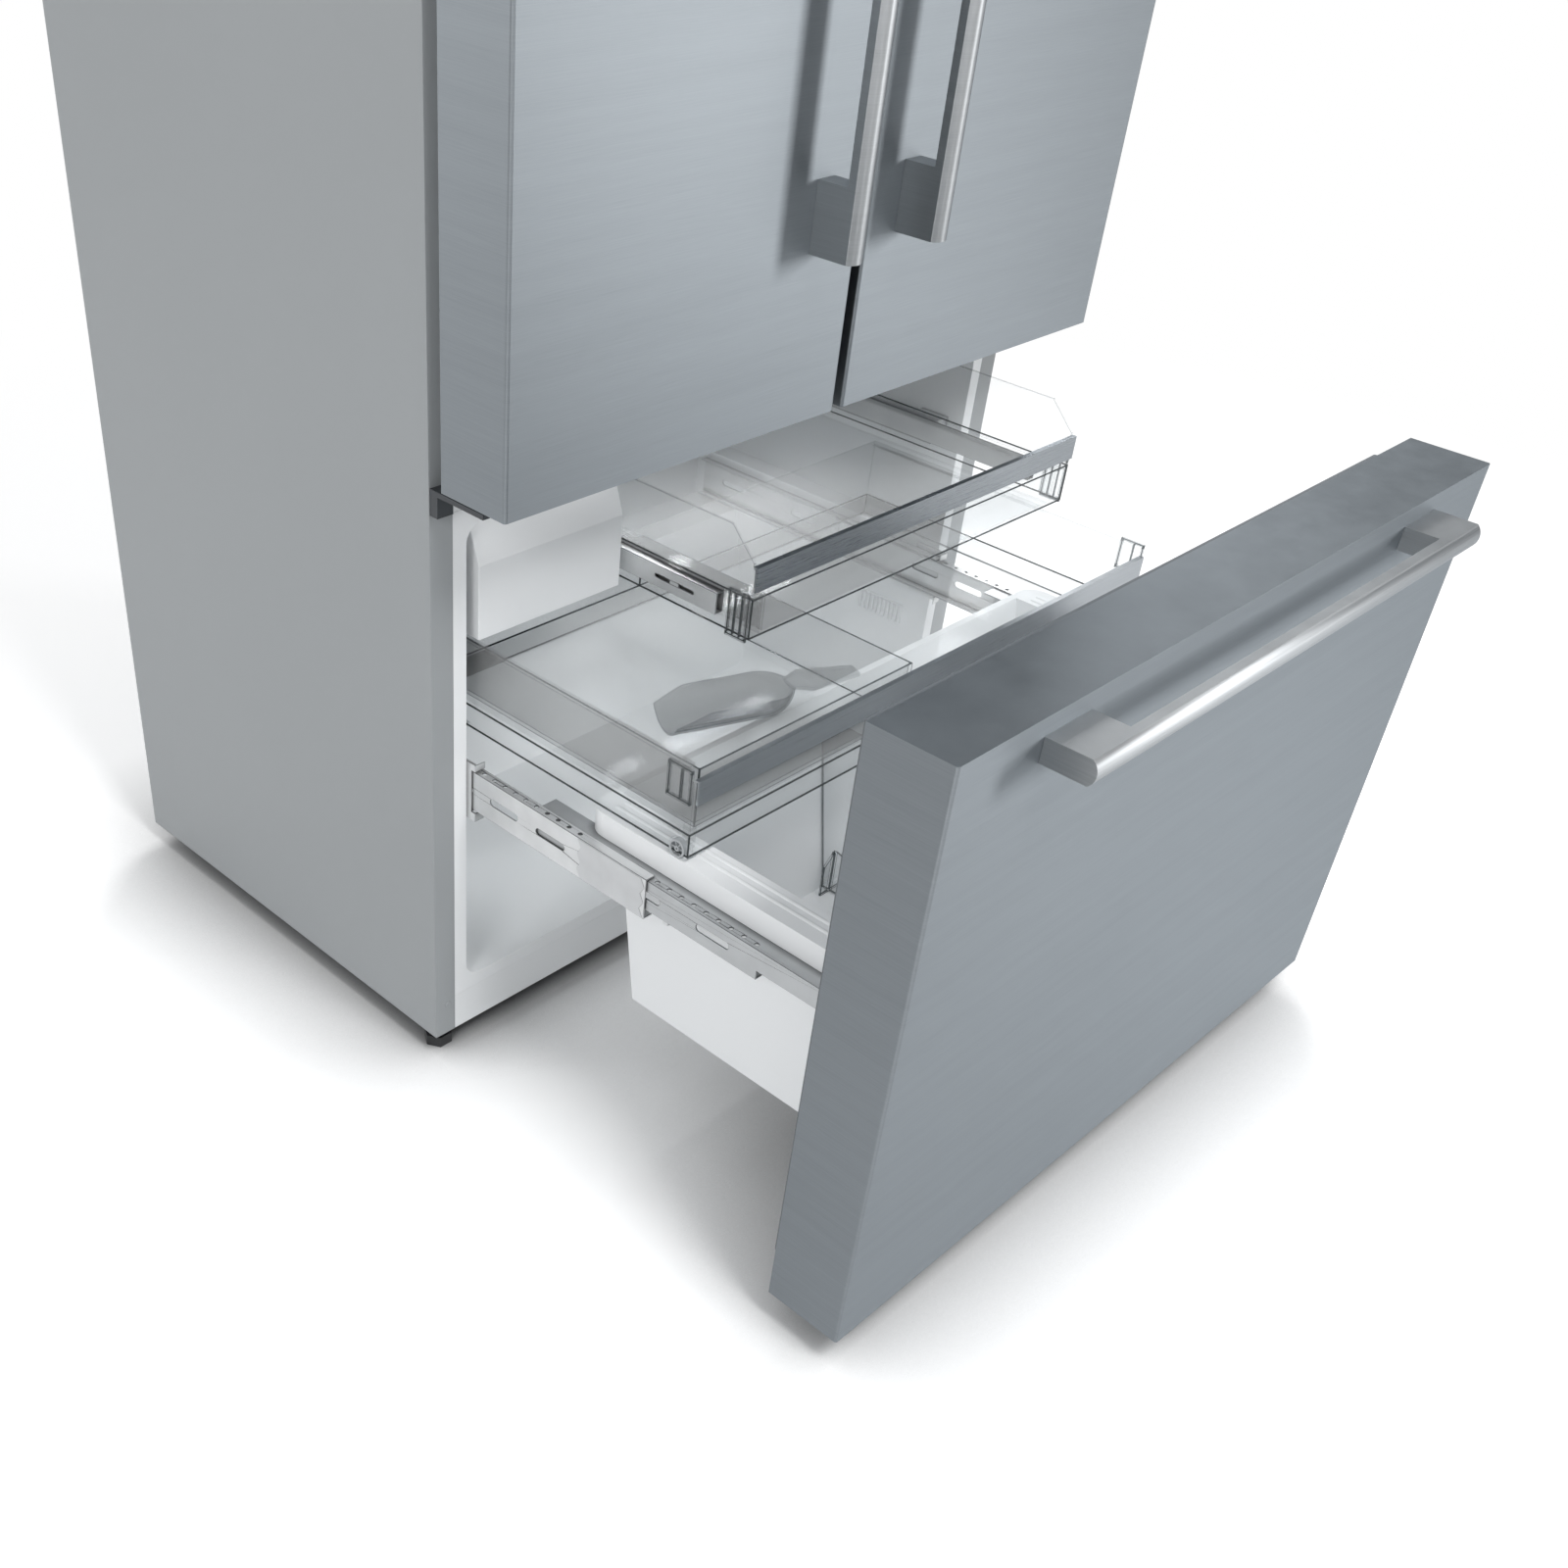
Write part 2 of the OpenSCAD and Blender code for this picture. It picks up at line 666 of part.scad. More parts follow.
// Air duct up the back of the fridge compartment
duct_x = 110;
duct_gap = 4;
duct_y = shelf_y1 + duct_gap;
duct_slots = 6;
duct_slot_w = 60;
duct_slot_h = 8;

module fridge_duct() color("#f4f6f7") difference() {
    box([-duct_x, duct_y, fridge_z0 + shelf_up[0]], [duct_x, bay_d, fridge_z1 - slip]);
    box([-duct_x + panel_t, duct_y + panel_t, fridge_z0 + shelf_up[0] + panel_t],
        [duct_x - panel_t, bay_d + over, fridge_z1 - slip - panel_t]);
    for (i = [1:duct_slots], s = [-1, 1])
        translate([s * duct_x / 2 - duct_slot_w / 2, duct_y - over,
                fridge_z0 + shelf_up[0] + i * (fridge_z1 - fridge_z0 - shelf_up[0]) / (duct_slots + 1)])
            cube([duct_slot_w, 2 * over + panel_t, duct_slot_h]);
}

// Feet and hinges
foot_in = 22.5;
foot_x = cab_x - foot_in;
foot_y = 24;
foot_r = 17;
foot_h = 14;
foot_neck_r = 10;

module front_feet() color("#222426") both_sides() translate([foot_x, foot_y, 0]) {
    cylinder(r = foot_r, h = foot_h, $fn = 6);
    cylinder(r = foot_neck_r, h = cab_bottom);
}

bracket_t = 5;
bracket_gap = 4;
bracket_top = door_z0 - bracket_gap;
bracket_x1 = cab_x - sheet;
bracket_plate_w = 19;
bracket_drop = 26;
bracket_round = 14;
bracket_y = pin_y - bracket_round;
bracket_lap = 2;
pin_l = 18;
washer_r = 1.6 * pin_r;

module lower_hinges() color("#3b3f43") {
    box([bracket_x1 - bracket_plate_w, -door_gap / 2, bracket_top - bracket_drop],
        [bracket_x1, 0, bracket_top]);
    box([bay_x + bracket_lap, bracket_y, bracket_top - bracket_t], [bracket_x1, 0, bracket_top]);
    translate([-pin_x, pin_y, bracket_top - bracket_t]) cylinder(r = pin_r, h = bracket_t + pin_l);
    translate([-pin_x, pin_y, bracket_top]) cylinder(r = washer_r, h = door_z0 - bracket_top - slip);
}

hinge_plate_t = 4;
hinge_plate_w = 44;
hinge_plate_y1 = 70;

module top_hinges() color("#b4b8bb") {
    box([-pin_x - hinge_plate_w / 2, bracket_y, cab_top],
        [cab_x - hinge_plate_t, hinge_plate_y1, cab_top + hinge_plate_t]);
    translate([-pin_x, pin_y, door_top - pin_l]) cylinder(r = pin_r, h = door_head + pin_l + hinge_plate_t);
    translate([-pin_x, pin_y, door_top + slip]) cylinder(r = washer_r, h = door_head - slip);
}

module door_hinges() both_sides() {
    lower_hinges();
    top_hinges();
}

hinge_cover_h = 30;
hinge_cover_w = 54;
hinge_cover_t = 2;
hinge_cover_over = 8;
hinge_cover_in = 1;
hinge_cover_x = -pin_x - hinge_cover_in;
hinge_cover_y = (bracket_y + hinge_plate_y1) / 2;
hinge_cover_l = hinge_plate_y1 - bracket_y + 2 * hinge_cover_over;

module hinge_covers() color("#85898c") both_sides() difference() {
    translate([hinge_cover_x, hinge_cover_y, cab_top + slip]) linear_extrude(hinge_cover_h)
        round_rect(hinge_cover_w, hinge_cover_l, 2 * edge_r);
    translate([hinge_cover_x, hinge_cover_y, cab_top - over])
        linear_extrude(hinge_cover_h + over - hinge_cover_t + slip)
            round_rect(hinge_cover_w - 2 * hinge_cover_t, hinge_cover_l - 2 * hinge_cover_t,
                2 * edge_r - hinge_cover_t);
}

// Shelves: a moulded frame with a pane of glass let in from above
shelf_x = bay_x - shelf_gap;
pane_in = 6;

// Space inside a shelf's edge, between two heights
module shelf_inside(edge, z0, z1)
    box([edge - shelf_x, shelf_y0 + edge, z0], [shelf_x - edge, shelf_y1 - edge, z1]);

module shelf_frames() color("#dfe3e6") for (up = shelf_up) translate([0, 0, fridge_z0 + up]) difference() {
    shelf_inside(0, 0, frame_h);
    shelf_inside(frame_w, -over, frame_h + over);
    shelf_inside(pane_in, frame_h - glass_t, frame_h + over);
}

module shelf_glasses() color("#cfe4e0") for (up = shelf_up) translate([0, 0, fridge_z0 + up])
    shelf_inside(pane_in + slip, frame_h - glass_t, frame_h);

// Open box with a grip along its front edge
grip_out = 14;
grip_h = 12;

module pull_box(x0, x1, y0, y1, z0, z1, t) {
    difference() {
        box([x0, y0, z0], [x1, y1, z1]);
        box([x0 + t, y0 + t, z0 + t], [x1 - t, y1 - t, z1 + over]);
    }
    box([x0, y0 - grip_out, z1 - grip_h], [x1, y0, z1 - grip_h + t]);
    box([x0, y0 - grip_out, z1 - grip_h], [x1, y0 - grip_out + t, z1]);
}

box_t = 3;
crisper_mid = 5;
crisper_z0 = fridge_z0 + shelf_up[0] + frame_h + slip;
crisper_gap = 12;
crisper_z1 = fridge_z0 + shelf_up[1] - crisper_gap;
crisper_y = crisper_y0 + grip_out;
box_side = 9;
box_back = 8;
box_x = shelf_x - box_side;
box_y1 = shelf_y1 - box_back;
deli_gap = 14;
deli_z1 = fridge_z0 + shelf_up[0] - deli_gap;

module crisper() pull_box(-box_x, -crisper_mid, crisper_y, box_y1, crisper_z0, crisper_z1, box_t);

module crisper_left() color("#dfeef2") crisper();

module crisper_right() color("#dfeef2") mirror([1, 0, 0]) crisper();

module deli_drawer() color("#dfeef2") pull_box(-box_x, box_x, crisper_y, box_y1, deli_z0, deli_z1, box_t);

panel_w = 220;
panel_d = 90;
panel_h = 14;
panel_y = 40;

module control_panel() color("#d6dade")
    box([-panel_w / 2, panel_y, fridge_z1 - panel_h], [panel_w / 2, panel_y + panel_d, fridge_z1 - slip]);

// Ice maker: cover, and the mould with its drive behind it
ice_t = 2.5;
ice_z0 = freezer_z1 - ice_h;
ice_bend = ice_z0 + ice_straight;
ice_top = freezer_z1 - 2 * slip;

module ice_profile(in_t) polygon([
    [in_t, ice_z0 - (in_t > 0 ? over : 0)],
    [in_t, ice_bend],
    [in_t + ice_lean, ice_top - 2 * ice_t],
    [in_t + ice_lean, ice_top + (in_t > 0 ? over : 0)],
    [ice_d + (in_t > 0 ? over : 0), ice_top + (in_t > 0 ? over : 0)],
    [ice_d + (in_t > 0 ? over : 0), ice_z0 - (in_t > 0 ? over : 0)]]);

module ice_maker_cover() color("#f7f8f9") difference() {
    along_x(ice_x0, ice_x1) ice_profile(0);
    along_x(ice_x0 + ice_t, ice_x1 - ice_t) ice_profile(ice_t);
}

mould_in = 24;
mould_front = 70;
mould_back = 40;
mould_up = 30;
mould_x0 = ice_x0 + mould_in;
mould_x1 = ice_x1 - mould_in;
mould_y0 = mould_front;
mould_y1 = ice_d - mould_back;
mould_z0 = ice_z0 + mould_up;
mould_h = 40;
drive_l = 36;
drive_head = 8;
hanger_l = 8;
cell_n = 6;
cell_r = 30;
cell_wall = 4;
cell_step = (mould_y1 - mould_y0 - cell_wall) / cell_n;

module ice_maker() color("#b9bec2") {
    difference() {
        box([mould_x0, mould_y0, mould_z0], [mould_x1, mould_y1, mould_z0 + mould_h]);
        for (i = [0:cell_n - 1])
            translate([(mould_x0 + mould_x1) / 2, mould_y0 + cell_wall + i * cell_step, mould_z0 + mould_h])
                rotate([-90, 0, 0]) cylinder(r = cell_r, h = cell_step - cell_wall);
    }
    box([mould_x0, mould_y0 - drive_l, mould_z0], [mould_x1, mould_y0, ice_top - drive_head]);
    box([mould_x0, mould_y1, mould_z0 + mould_h / 2], [mould_x1, mould_y1 + hanger_l, ice_top]);
}

// Freezer drawer rails: a fixed profile on the liner, a middle one, and one on the drawer
rail_out = 8;
rail_back = 16;
rail_lead = 8;
rail_more = 2;
rail_y0 = -rail_out;
rail_y1 = cover_y - rail_back;
rail_l = rail_y1 - rail_y0;
rail_top = rail_z0 + rail_h;
rail_mid_z0 = rail_z0 + rail_t + rail_gap;
rail_mid_z1 = rail_top - rail_t - rail_gap;
rail_mid_x = bay_x - rail_t - rail_gap;
rail_mid_y0 = rail_y0 - rail_lead - drawer_out / 2;
rail_mid_l = rail_l + rail_more;
rail_in_x = rail_mid_x - rail_t - rail_gap;
rail_in_z1 = rail_mid_z1 - rail_t - rail_gap;
rail_in_h = 34;
rail_in_l = rail_l - rail_lead;
rail_shelf_in = 12;
rail_shelf_x = rim_x - rail_shelf_in;
mount_up = 8;
mount_down = 10;
mount_out = 14;
mount_in = 34;
slot_r = 4;
slot_l = 34;
fix_slot_in = 80;
fix_slot_end = 40;
fix_slot_pitch = (rail_y1 - fix_slot_in - slot_l - fix_slot_end) / 2;

// Channel profile with its web at x, open towards the middle of the appliance
module channel(x, z0, z1, w) {
    translate([x - rail_t, z0]) square([rail_t, z1 - z0]);
    translate([x - w, z0]) square([w, rail_t]);
    translate([x - w, z1 - rail_t]) square([w, rail_t]);
}

// Long round-ended hole through a web at x
module web_slot(x, y, z, l, r) translate([x - over, y, z]) rotate([0, 90, 0]) {
    cylinder(r = r, h = 2 * over);
    translate([0, l, 0]) cylinder(r = r, h = 2 * over);
    translate([-r, 0, 0]) cube([2 * r, l, 2 * over]);
}

module bin_rails_fixed() both_sides() difference() {
    union() {
        upright(rail_y0, rail_y1) channel(bay_x, rail_z0, rail_top, rail_w);
        // Bracket at the mouth of the freezer
        translate([bay_x, -mount_out, 0]) {
            box([-rail_t, 0, rail_z0 - mount_down], [0, mount_out + mount_in, rail_z0]);
            box([-rail_t, 0, rail_top], [0, mount_out + mount_in, rail_top + mount_up]);
            box([-rail_w - rail_t, 0, rail_top + rail_gap], [0, rail_t, rail_top + mount_up]);
            box([-rail_w, 0, rail_z0 - mount_down], [0, rail_t, rail_z0 - rail_gap]);
        }
    }
    for (i = [0:2])
        web_slot(bay_x, fix_slot_in + i * fix_slot_pitch, (rail_z0 + rail_top) / 2, slot_l, slot_r);
}

mid_z = (rail_mid_z0 + rail_mid_z1) / 2;
window_in = 14;
mid_slot_in = 118;
mid_slot_pitch = 70;
hole_r = 2.2;
hole_pitch = 16;
mid_hole_in = 98;
mid_holes = 11;

module middle_rails() color("#d3d7da") both_sides() difference() {
    upright(rail_mid_y0, rail_mid_y0 + rail_mid_l) channel(rail_mid_x, rail_mid_z0, rail_mid_z1, rail_w);
    for (i = [0:2])
        web_slot(rail_mid_x, rail_mid_y0 + mid_slot_in + i * mid_slot_pitch, mid_z, slot_l, slot_r);
    box([rail_mid_x - over, rail_mid_y0 + window_in, mid_z - slot_r],
        [rail_mid_x + over, rail_mid_y0 + window_in + 2 * slot_r, mid_z + 2 * slot_r]);
    for (i = [0:mid_holes - 1])
        translate([rail_mid_x - rail_w / 2, rail_mid_y0 + mid_hole_in + i * hole_pitch, rail_mid_z1 - over])
            cylinder(r = hole_r, h = 2 * over);
}

drawer_rail_y0 = front_y1 + slip;
foot_plate_h = 52;
nose_l = 108;
nose_h = 24;
in_slot_in = 148;
in_slot_end = 52;
in_slot_pitch = (rail_in_l - in_slot_in - slot_l - in_slot_end) / 2;
in_holes = 9;

module drawer_rails() color("#aeb3b7") both_sides() difference() {
    union() {
        upright(drawer_rail_y0, drawer_rail_y0 + rail_in_l) {
            channel(rail_in_x, rail_in_z1 - rail_in_h, rail_in_z1, rail_w);
            translate([rail_shelf_x, rail_in_z1 - rail_t]) square([rail_in_x - rail_shelf_x, rail_t]);
        }
        box([rail_shelf_x, drawer_rail_y0, rail_in_z1 - foot_plate_h],
            [rail_in_x, drawer_rail_y0 + rail_t, rail_in_z1]);
    }
    translate([rail_in_x, drawer_rail_y0, rail_in_z1]) {
        for (i = [0:2]) web_slot(0, in_slot_in + i * in_slot_pitch, -rail_in_h / 2, slot_l, slot_r);
        for (i = [0:in_holes - 1]) translate([-rail_w / 2, nose_l + hole_pitch / 2 + i * hole_pitch, -over])
            cylinder(r = hole_r, h = 2 * over);
    }
    // Slimmer nose of the profile next to the drawer front
    box([rail_in_x - 2 * rail_w, drawer_rail_y0 + 2 * rail_t, rail_in_z1 - foot_plate_h],
        [rail_in_x + over, drawer_rail_y0 + nose_l, rail_in_z1 - nose_h]);
}

// Slides of the upper tray, drawn for its left side and mirrored about its middle
up_mid_x = (up_x0 + up_x1) / 2;
up_rail_drop = 33;
up_rail_h = 28;
up_rail_w = 11;
up_rail_out = 5.5;
up_rail_back = 30;
up_rail_z0 = up_ledge - up_rail_drop;
up_rail_x = up_x0 - up_rail_out;
up_rail_y0 = 22;
up_rail_y1 = cover_y - up_rail_back;
up_move_in = 34;
up_move_back = 46;
up_move_y0 = up_move_in - up_out;
up_move_l = cover_y - up_move_back - up_move_in;
up_move_gap = 0.6;
riser_gap = 1;
hanger_t = 2;
spacer_l = 40;

module up_sides() {
    children();
    translate([2 * up_mid_x, 0, 0]) mirror([1, 0, 0]) children();
}

module tray_rails_fixed() {
    up_sides() mirror([1, 0, 0]) upright(up_rail_y0, up_rail_y1)
        channel(-up_rail_x, up_rail_z0, up_rail_z0 + up_rail_h, up_rail_w);
    box([up_rail_x - hanger_t, up_rail_y0, up_rail_z0], [up_rail_x, up_rail_y1, freezer_z1 - slip]);
    for (y = [up_rail_y0, up_rail_y1 - spacer_l])
        box([2 * up_mid_x - up_rail_x, y, up_rail_z0], [bay_x, y + spacer_l, up_rail_z0 + up_rail_h]);
}

module fixed_rails() color("#c2c6c9") {
    bin_rails_fixed();
    tray_rails_fixed();
}

move_x = up_rail_x + rail_t + up_move_gap;
move_z0 = up_rail_z0 + rail_t + up_move_gap;
move_z1 = up_rail_z0 + up_rail_h - rail_t - up_move_gap;
riser_x = up_rail_x + up_rail_w + riser_gap;

module tray_rails() color("#b8bdc1") up_sides() difference() {
    upright(up_move_y0, up_move_y0 + up_move_l) {
        translate([move_x, move_z0]) square([rail_t, move_z1 - move_z0]);
        translate([move_x, move_z0]) square([riser_x + rail_t - move_x, rail_t]);
        translate([move_x, move_z1 - rail_t]) square([riser_x + rail_t - move_x, rail_t]);
        translate([riser_x, move_z0]) square([rail_t, up_ledge - clear_t - slip - move_z0]);
    }
    for (i = [1:2])
        web_slot(move_x, up_move_y0 + i * slot_l, (move_z0 + move_z1) / 2, slot_l / 2, slot_r / 2);
}

// Doors, drawn as the left one
module door_plan(grow) {
    r = edge_r - grow;
    translate([door_x0 + grow, door_y0 + grow + r]) square([door_w - 2 * grow, door_t - r - grow]);
    translate([door_x0 + grow + r, door_y0 + grow]) square([door_w - 2 * grow - 2 * r, 2 * r]);
    for (x = [door_x0 + grow + r, door_x1 - grow - r]) translate([x, door_y0 + grow + r]) circle(r);
}

module pin_at(z, h, r) translate([pin_x, pin_y, z]) cylinder(r = r, h = h);

module door_skin() color("#b3babf") difference() {
    union() {
        difference() {
            translate([0, 0, door_z0]) linear_extrude(door_top - door_z0) door_plan(0);
            translate([0, 0, door_z0 + skin_t]) linear_extrude(door_top - door_z0 - 2 * skin_t) {
                door_plan(skin_t);
                translate([door_x0 + skin_t, door_y1 - 2 * over]) square([door_w - 2 * skin_t, 4 * over]);
            }
        }
        pin_at(door_z0, boss_h, boss_r);
        pin_at(door_top - boss_h, boss_h, boss_r);
    }
    pin_at(door_z0 - over, pin_l + over, pin_r + run_gap);
    pin_at(door_top - pin_l - over, pin_l + 2 * over, pin_r + run_gap);
}

module door_foam() color("#e8dfae") difference() {
    box([door_x0 + skin_t + slip, door_y0 + skin_t + slip, door_z0 + skin_t + slip],
        [door_x1 - skin_t - slip, door_y1 - door_liner_t - slip, door_top - skin_t - slip]);
    for (x = [door_x0 + skin_t + slip, door_x1 - skin_t - slip])
        translate([x - edge_r / 2, door_y0 + skin_t + slip - edge_r / 2, door_z0])
            cube([edge_r, edge_r, door_h]);
    pin_at(door_z0 - over, boss_h + over + slip, boss_r + slip);
    pin_at(door_top - boss_h - slip, boss_h + over, boss_r + slip);
}

// Ridge moulded round the door's liner
dyke_x0 = -bay_x + dyke_in;
dyke_x1 = -dyke_mid;
dyke_z0 = fridge_z0 + dyke_end;
dyke_z1 = fridge_z1 - dyke_end;
dyke_y = dyke_deep;

module door_liner() color("#f1f3f4") difference() {
    union() {
        box([door_x0 + skin_t + slip, door_y1 - door_liner_t, door_z0 + skin_t + slip],
            [door_x1 - skin_t - slip, door_y1, door_top - skin_t - slip]);
        difference() {
            box([dyke_x0, door_y1 - door_liner_t / 2, dyke_z0], [dyke_x1, dyke_y, dyke_z1]);
            box([dyke_x0 + dyke_w, door_y1 - over, dyke_z0 + dyke_w],
                [dyke_x1 - dyke_w, dyke_y + over, dyke_z1 - dyke_w]);
        }
    }
    difference() {
        box([dyke_x0 + door_liner_t, door_y1 - over, dyke_z0 + door_liner_t],
            [dyke_x1 - door_liner_t, dyke_y - door_liner_t, dyke_z1 - door_liner_t]);
        box([dyke_x0 + dyke_w - door_liner_t, door_y1 - 2 * over, dyke_z0 + dyke_w - door_liner_t],
            [dyke_x1 - dyke_w + door_liner_t, dyke_y + over, dyke_z1 - dyke_w + door_liner_t]);
    }
}

// Sealing ring between x0 and x1, z0 and z1, behind a door whose back is at y
seal_gap = 0.5;
seal_end = 5;
gasket_t = door_gap - slip - seal_gap;

module gasket(x0, x1, z0, z1, y) difference() {
    box([x0, y + slip, z0], [x1, y + slip + gasket_t, z1]);
    box([x0 + gasket_w, y - over, z0 + gasket_w], [x1 - gasket_w, y + door_gap + over, z1 - gasket_w]);
}

module door_gasket() color("#6f757b")
    gasket(pin_x + gasket_in, door_x1 - gasket_in, door_z0 + seal_end, door_top - seal_end, door_y1);

// Bar handle along X, its back at y = 0 and its front at -handle_out, with square end blocks
module handle(l) {
    for (s = [-1, 1]) translate([s * (l - block_l) / 2, 0, 0])
        box([-block_l / 2, -handle_out + bar_d, -bar_h / 2], [block_l / 2, 0, bar_h / 2]);
    along_x(-l / 2, l / 2) {
        translate([-handle_out + bar_d / 2, -bar_h / 2]) square([bar_d / 2, bar_h]);
        intersection() {
            translate([-handle_out, -bar_h / 2]) square([bar_d, bar_h]);
            translate([-handle_out + bar_r, 0]) circle(bar_r);
        }
    }
}

module door_handle() color("#c3c6c8")
    translate([door_x1 - door_handle_in, door_y0, door_z0 + door_handle_up + door_handle_l / 2])
        rotate([0, 90, 0]) handle(door_handle_l);

// Clear door shelves between the liner's side ridges
bin_x0 = dyke_x0 + dyke_w + slip;
bin_x1 = dyke_x1 - dyke_w - slip;

module door_shelf() difference() {
    box([bin_x0, door_y1 + slip, 0], [bin_x1, door_y1 + door_bin_d, door_bin_h]);
    box([bin_x0 + box_t, door_y1 + slip + box_t, box_t],
        [bin_x1 - box_t, door_y1 + door_bin_d - box_t, door_bin_h + over]);
}

module door_shelves() color("#dfeef2") for (share = door_shelf_shares)
    translate([0, 0, door_z0 + share * door_h]) door_shelf();

module left_door_skin() door_skin();
module left_door_foam() door_foam();
module left_door_gasket() door_gasket();
module left_door_handle() door_handle();
module left_door_shelves() door_shelves();
module right_door_skin() mirror([1, 0, 0]) door_skin();
module right_door_foam() mirror([1, 0, 0]) door_foam();
module right_door_liner() mirror([1, 0, 0]) door_liner();
module right_door_gasket() mirror([1, 0, 0]) door_gasket();
module right_door_handle() mirror([1, 0, 0]) door_handle();
module right_door_shelves() mirror([1, 0, 0]) door_shelves();

// Flap on the left door that closes the gap between the doors. It turns on two pins at its back
// edge, in lugs at the ends of the liner's ridge.
flap_x0 = dyke_x1 + slip;
flap_w = 30;
flap_t = 11;
flap_end = 14;
flap_y1 = slip + flap_t;
flap_z0 = fridge_z0 + flap_end;
flap_z1 = fridge_z1 - flap_end;
flap_pin_r = 2;
flap_pin_in = 3;
flap_pin_l = 5;
flap_gap = 0.5;
lug_r = 4;
lug_l = 14;
lug_t = 5;

module flap_pins(r, inner, outer) for (z = [flap_z0 - outer, flap_z1 - inner])
    translate([flap_x0, flap_y1, z]) cylinder(r = r, h = inner + outer);

module mullion_flap() color("#5d6368") {
    box([flap_x0, slip, flap_z0], [flap_x0 + flap_w, flap_y1, flap_z1]);
    flap_pins(flap_pin_r, flap_pin_in, flap_pin_l);
}

module flap_lug(z0, z1, plate_z) {
    box([dyke_x1 - lug_l, lug_r, z0], [dyke_x1, flap_y1 + lug_r, z1]);
    box([dyke_x1 - lug_l, lug_r, plate_z], [flap_x0 + lug_r, flap_y1 + lug_r, plate_z + lug_t]);
}

module left_door_liner() {
    door_liner();
    color("#f1f3f4") difference() {
        union() {
            flap_lug(flap_z0 - flap_gap - lug_t, dyke_z0 + door_liner_t / 2, flap_z0 - flap_gap - lug_t);
            flap_lug(dyke_z1 - door_liner_t / 2, flap_z1 + flap_gap + lug_t, flap_z1 + flap_gap);
        }
        flap_pins(flap_pin_r + run_gap, flap_pin_in, flap_pin_l + over);
    }
}

// Freezer drawer front
module front_plan(grow) {
    r = edge_r - grow;
    w = 2 * front_x - 2 * grow;
    translate([-w / 2, front_y0 + grow + r]) square([w, door_t - r - grow]);
    translate([-w / 2 + r, front_y0 + grow]) square([w - 2 * r, 2 * r]);
    for (s = [-1, 1]) translate([s * (w / 2 - r), front_y0 + grow + r]) circle(r);
}

module drawer_skin() color("#b3babf") difference() {
    translate([0, 0, drawer_z0]) linear_extrude(drawer_top - drawer_z0) front_plan(0);
    translate([0, 0, drawer_z0 + skin_t]) linear_extrude(drawer_top - drawer_z0 - 2 * skin_t) {
        front_plan(skin_t);
        translate([-front_x + skin_t, front_y1 - 2 * over]) square([2 * front_x - 2 * skin_t, 4 * over]);
    }
}

module drawer_foam() color("#e8dfae") difference() {
    box([-front_x + skin_t + slip, front_y0 + skin_t + slip, drawer_z0 + skin_t + slip],
        [front_x - skin_t - slip, front_y1 - door_liner_t - slip, drawer_top - skin_t - slip]);
    for (s = [-1, 1]) translate([s * (front_x - skin_t - slip), front_y0 + skin_t + slip, drawer_z0])
        translate([-edge_r / 2, -edge_r / 2, 0]) cube([edge_r, edge_r, drawer_top - drawer_z0]);
}

module drawer_liner() color("#f1f3f4")
    box([-front_x + skin_t + slip, front_y1 - door_liner_t, drawer_z0 + skin_t + slip],
        [front_x - skin_t - slip, front_y1, drawer_top - skin_t - slip]);

drawer_seal_down = 36;
drawer_seal_up = 23.4;
drawer_seal_z0 = freezer_z0 - drawer_seal_down;
drawer_seal_z1 = freezer_z1 + drawer_seal_up;

module drawer_gasket() color("#6f757b")
    gasket(pin_x + gasket_in, -pin_x - gasket_in, drawer_seal_z0, drawer_seal_z1, front_y1);

module drawer_handle() color("#c3c6c8")
    translate([0, front_y0, drawer_top - handle_down - bar_h / 2]) handle(drawer_handle_l);

// Bin: side walls upright, back wall leaning, broad rim turned down at the edge
bin_front = 6;
bin_back = 12;
bin_lean = 42;
rim_front = 3;
rim_back = 5;
bin_y0 = front_y1 + bin_front;
bin_y1 = hump_y - bin_back - drawer_out;
bin_z0 = freezer_z0 + bin_under;
bin_h = rim_z - bin_z0;
rim_t = 3.5;
rim_y0 = front_y1 + rim_front;
rim_y1 = bin_y1 + bin_lean + rim_back;
rim_mid_y = (rim_y0 + rim_y1) / 2;
rim_l = rim_y1 - rim_y0;
rim_r = 24;
skirt_t = 3;
skirt_z0 = rail_in_z1 + slip;
bead_r = 3;
bead_high = 1.5;
bead_in = 20;
bead_pitch = 12;

module bin_side(grow) polygon([
    [bin_y0 + grow, bin_z0 + grow],
    [bin_y1 - grow, bin_z0 + grow],
    [bin_y1 + bin_lean - grow, rim_z + (grow > 0 ? over : 0)],
    [bin_y0 + grow, rim_z + (grow > 0 ? over : 0)]]);

module rim_plan() translate([0, rim_mid_y]) round_rect(2 * rim_x, rim_l, rim_r);

module freezer_bin() color("#f1f3f4") difference() {
    union() {
        along_x(-bin_x, bin_x) bin_side(0);
        translate([0, 0, skirt_z0]) linear_extrude(rim_z - skirt_z0) difference() {
            rim_plan();
            translate([0, rim_mid_y]) square([2 * (rim_x - skirt_t), rim_l - 2 * rim_r], center = true);
            translate([0, rim_mid_y]) square([2 * (rim_x - rim_r), rim_l - 2 * skirt_t], center = true);
        }
        translate([0, 0, rim_z - rim_t]) linear_extrude(rim_t) rim_plan();
        // Beads moulded along the rim
        both_sides() for (i = [0:1])
            translate([rim_x - bead_in - i * bead_pitch, rim_y1 - rim_r, rim_z + bead_high - bead_r])
                rotate([90, 0, 0]) cylinder(r = bead_r, h = rim_l - 2 * rim_r);
    }
    along_x(-bin_x + bin_t, bin_x - bin_t) bin_side(bin_t);
}

